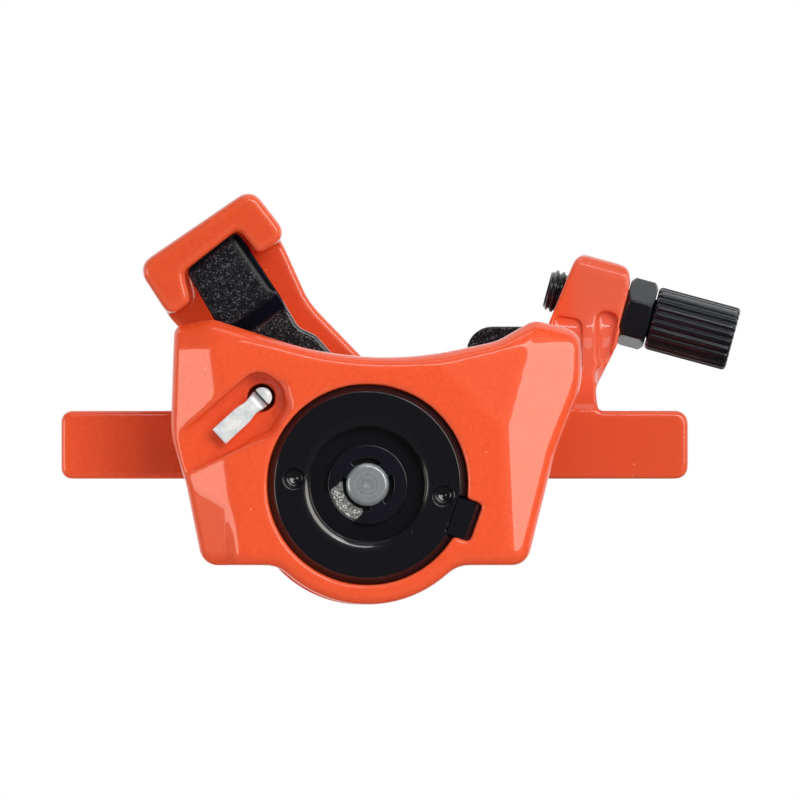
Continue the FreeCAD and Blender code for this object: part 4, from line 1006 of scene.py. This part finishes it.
def friction_lining():
    """Rough dark lining with brass flecks."""
    look = Finish("friction_lining", grain=(1200.0, 5200.0, 0.9), roughness=0.85)
    look.tones((0.03, 0.027, 0.024), (0.1, 0.09, 0.08))
    look.over(look.specks(scale=1500.0, size=0.26, share=0.2), 0.6, (0.42, 0.27, 0.14))
    return look.done(bump=(0.8, 0.0002))


def make_finishes():
    """All finishes by name. Most names are those of the slots, and the rest are looks of one piece."""
    made = {
        "orange_enamel": orange("orange_enamel", (0.9, 0.087, 0.019), (0.965, 0.106, 0.027)),
        # The hood's enamel is a darker copy of the same orange, as painted shade
        "orange_painted_shade": orange("orange_painted_shade", (0.77, 0.074, 0.015), (0.83, 0.088, 0.021)),
    }
    for make in (black_enamel, black_powder, blued_clip, black_anodised, sintered_iron, zinc_steel,
                 turned_steel, bright_zinc, ball_steel, spring_steel, friction_lining):
        made[make.__name__] = make()
    return made


def seen_rays(tree):
    """1 for camera, glossy and transmission rays, and 0 for the rest."""
    rays = add(tree, "ShaderNodeLightPath")
    either = math_node(tree, "MAXIMUM", rays.outputs["Is Camera Ray"], rays.outputs["Is Glossy Ray"])
    return math_node(tree, "MAXIMUM", either, rays.outputs["Is Transmission Ray"])


def white_world():
    """World that is white where it is seen, and a weaker light from all round."""
    world = bpy.data.worlds.new("studio")
    bpy.context.scene.world = world
    world.use_nodes = True
    tree = world.node_tree
    back = tree.nodes["Background"]
    back.inputs["Color"].default_value = (1, 1, 1, 1)
    tree.links.new(ranged(tree, seen_rays(tree), 0.0, 1.0, WORLD_FILL, 1.0), back.inputs["Strength"])


def pale_floor():
    """Pale floor below the object, brightened where it is seen, which keeps the object's shadow."""
    mesh = rectangle("floor", (-FLOOR_HALF, -FLOOR_HALF), (FLOOR_HALF, FLOOR_HALF), FLOOR_Z)
    floor = linked("floor", mesh)
    material = bpy.data.materials.new("floor_white")
    material.use_nodes = True
    tree = material.node_tree
    shader = tree.nodes["Principled BSDF"]
    shader.inputs["Base Color"].default_value = (0.9, 0.9, 0.9, 1)
    shader.inputs["Roughness"].default_value = 0.8
    shader.inputs["Emission Color"].default_value = (1, 1, 1, 1)
    tree.links.new(product(tree, seen_rays(tree), FLOOR_GLOW), shader.inputs["Emission Strength"])
    floor.data.materials.append(material)


def dome_mesh():
    """Part of a sphere in front of the object: (r sin a cos b, -r cos a, r sin a sin b)."""
    radius, pinhole, reach = 1700.0, 0.01, 91.0
    rows, columns = 24, 48
    a = np.radians(np.linspace(pinhole, reach, rows))[:, None]
    b = full_turn(columns)
    x, z = radius * np.sin(a) * np.cos(b), radius * np.sin(a) * np.sin(b)
    rings = np.stack([x, -radius * np.cos(a) + 0 * b, z], axis=-1)
    return mesh_from("dark_dome", rings.reshape(-1, 3), grid_faces(rows, columns, False, True))


def dark_cards():
    """Dark dome in front and dark table below, which only reflections see, so that glossy black
    pieces stay black."""
    dark = bpy.data.materials.new("dark_card")
    dark.use_nodes = True
    shader = dark.node_tree.nodes["Principled BSDF"]
    shader.inputs["Base Color"].default_value = (0.03, 0.026, 0.025, 1)
    shader.inputs["Roughness"].default_value = 1.0
    table = rectangle("dark_table", (-TABLE_HALF, -TABLE_HALF), (TABLE_HALF, TABLE_BACK_Y), TABLE_Z)
    for mesh in (dome_mesh(), table):
        card = linked(mesh.name, mesh)
        mesh.materials.append(dark)
        for kind in ("camera", "diffuse", "transmission", "volume_scatter", "shadow"):
            setattr(card, "visible_" + kind, False)


def lamp(name, way, upright, distance, size, radiance, colour, unseen=None):
    """Rectangular softbox that faces the object, as bright as radiance, where white is 1.

    way is where it stands as seen from the object, distance and size are in millimetres, upright is
    the direction of its second side, and unseen names the rays that it doesn't light."""
    data = bpy.data.lights.new(name, "AREA")
    data.shape = "RECTANGLE"
    data.size, data.size_y = size[0] * MM, size[1] * MM
    data.energy = radiance * math.pi * data.size * data.size_y
    data.color = colour
    made = linked(name, data)
    direction = Vector(way).normalized()
    made.location = Vector((VIEW_X * MM, 0, VIEW_Z * MM)) + direction * distance * MM
    across = Vector(upright).cross(direction).normalized()
    turned_to = Matrix((across, direction.cross(across), direction)).transposed()
    made.rotation_euler = turned_to.to_euler()
    made.visible_camera = False
    if unseen:
        setattr(made, "visible_" + unseen, False)


def light_studio():
    """Soft lamps: two sides and a strip that show in the gloss, a top, and two fills that don't."""
    lamp("left_softbox", way=(-0.845, -0.519, -0.091), upright=(0.1, 0, 1), distance=1000,
         size=(400, 620), radiance=3.15, colour=(1, 0.95, 0.82), unseen="diffuse")
    lamp("right_softbox", way=(0.559, -0.745, 0.359), upright=(-0.6, 0, 0.8), distance=1000,
         size=(330, 900), radiance=4.1, colour=(1, 0.96, 0.88))
    lamp("top_softbox", way=(-0.1, -0.3, 0.95), upright=(1, 0, 0), distance=1000,
         size=(260, 600), radiance=1.3, colour=(1, 0.97, 0.93))
    lamp("high_strip", way=(0.153, -0.81, 0.567), upright=(0.965, 0, -0.261), distance=1000,
         size=(70, 420), radiance=8.0, colour=(0.9, 0.96, 1), unseen="diffuse")
    lamp("front_fill", way=(0.36, -0.84, 0.4), upright=(0, 0, 1), distance=1400,
         size=(700, 700), radiance=4.05, colour=(1, 0.98, 0.95), unseen="glossy")
    lamp("low_fill", way=(-0.93, -0.13, -0.34), upright=(0, 0, 1), distance=400,
         size=(200, 200), radiance=2.8, colour=(1, 0.97, 0.93), unseen="glossy")


def make_camera():
    """Square on to the wheel side, with the photograph's framing and no perspective."""
    data = bpy.data.cameras.new("camera")
    data.type = "ORTHO"
    data.ortho_scale = VIEW_WIDTH * MM
    made = linked("camera", data)
    made.location = (VIEW_X * MM, -CAMERA_DISTANCE * MM, VIEW_Z * MM)
    made.rotation_euler = (math.radians(90), 0, 0)
    bpy.context.scene.camera = made


make_camera()
SPECKS = specks_group()
GRAIN = grain_group()
FINISHES = make_finishes()

cutters = [scoop(), pin_mouth()]
casting = soft_mesh("caliper_body", voxel=0.36, passes=4, cutters=cutters,
                    reshape=casting_front, keep=0.45)
for cutter in cutters:
    bpy.data.objects.remove(cutter)
piece("casting", casting, "housing", "orange_enamel", ["caliper_body"])
hood = soft_mesh("outer_arm", voxel=0.4, passes=10)
# The hood's orange is darkened as painted shade
piece("hooded_arm", hood, "outer_lever", "orange_enamel", ["outer_arm"], "orange_painted_shade")
black_arm = soft_mesh("near_arm", voxel=0.27, passes=9, reshape=arm_end)
piece("pressed_arm", black_arm, "near_lever", "black_powder", ["near_arm"])
piece("screw_cap", cap_mesh(), "housing", "black_enamel", ["near_cap"])
clip = soft_mesh("spindle_clip", voxel=0.12, passes=3)
piece("e_clip", clip, "near_lever", "black_oxide", ["spindle_clip"], "blued_clip")
spindle = soft_mesh("near_spindle", voxel=0.2, passes=1, reshape=spindle_end)
piece("spindle", spindle, "near_lever", "zinc_steel", ["near_spindle"], "turned_steel")
piece("split_pin", pin_mesh(), "housing", "zinc_steel", ["cotter_pin"], "bright_zinc")
piece("threaded_barrel", barrel_mesh(), "barrel", "black_anodised", ["adjuster_barrel"])
piece("fluted_knob", knob_mesh(), "knob", "black_anodised", ["adjuster_knob"])
nut = soft_mesh("adjuster_lock_nut", voxel=0.18, passes=2)
piece("lock_nut", nut, "lock_nut", "black_anodised", ["adjuster_lock_nut"])
for pad in ("inner_pad", "outer_pad"):
    plate = soft_mesh(pad + "_plate", voxel=0.27, passes=3)
    piece(pad + "_backing", plate, pad, "black_powder", [pad + "_plate"])
for node in ("arm_washer", "arm_bolt", "anchor_plate", "anchor_bolt"):
    rounded = soft_mesh(node, voxel=0.18, passes=2)
    piece(node + "_rounded", rounded, "outer_lever", "zinc_steel", [node])

replaced = {name for made in bpy.data.objects for name in made.get("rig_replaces", [])}
slots = {part["node"]: part["material_slot"] for part in frame["record"]["subparts"]}
for name, node in frame["nodes"].items():
    if name not in replaced:
        node.data.materials.clear()
        node.data.materials.append(FINISHES[slots[name]])

white_world()
pale_floor()
dark_cards()
light_studio()
bpy.context.scene.view_settings.view_transform = "Standard"
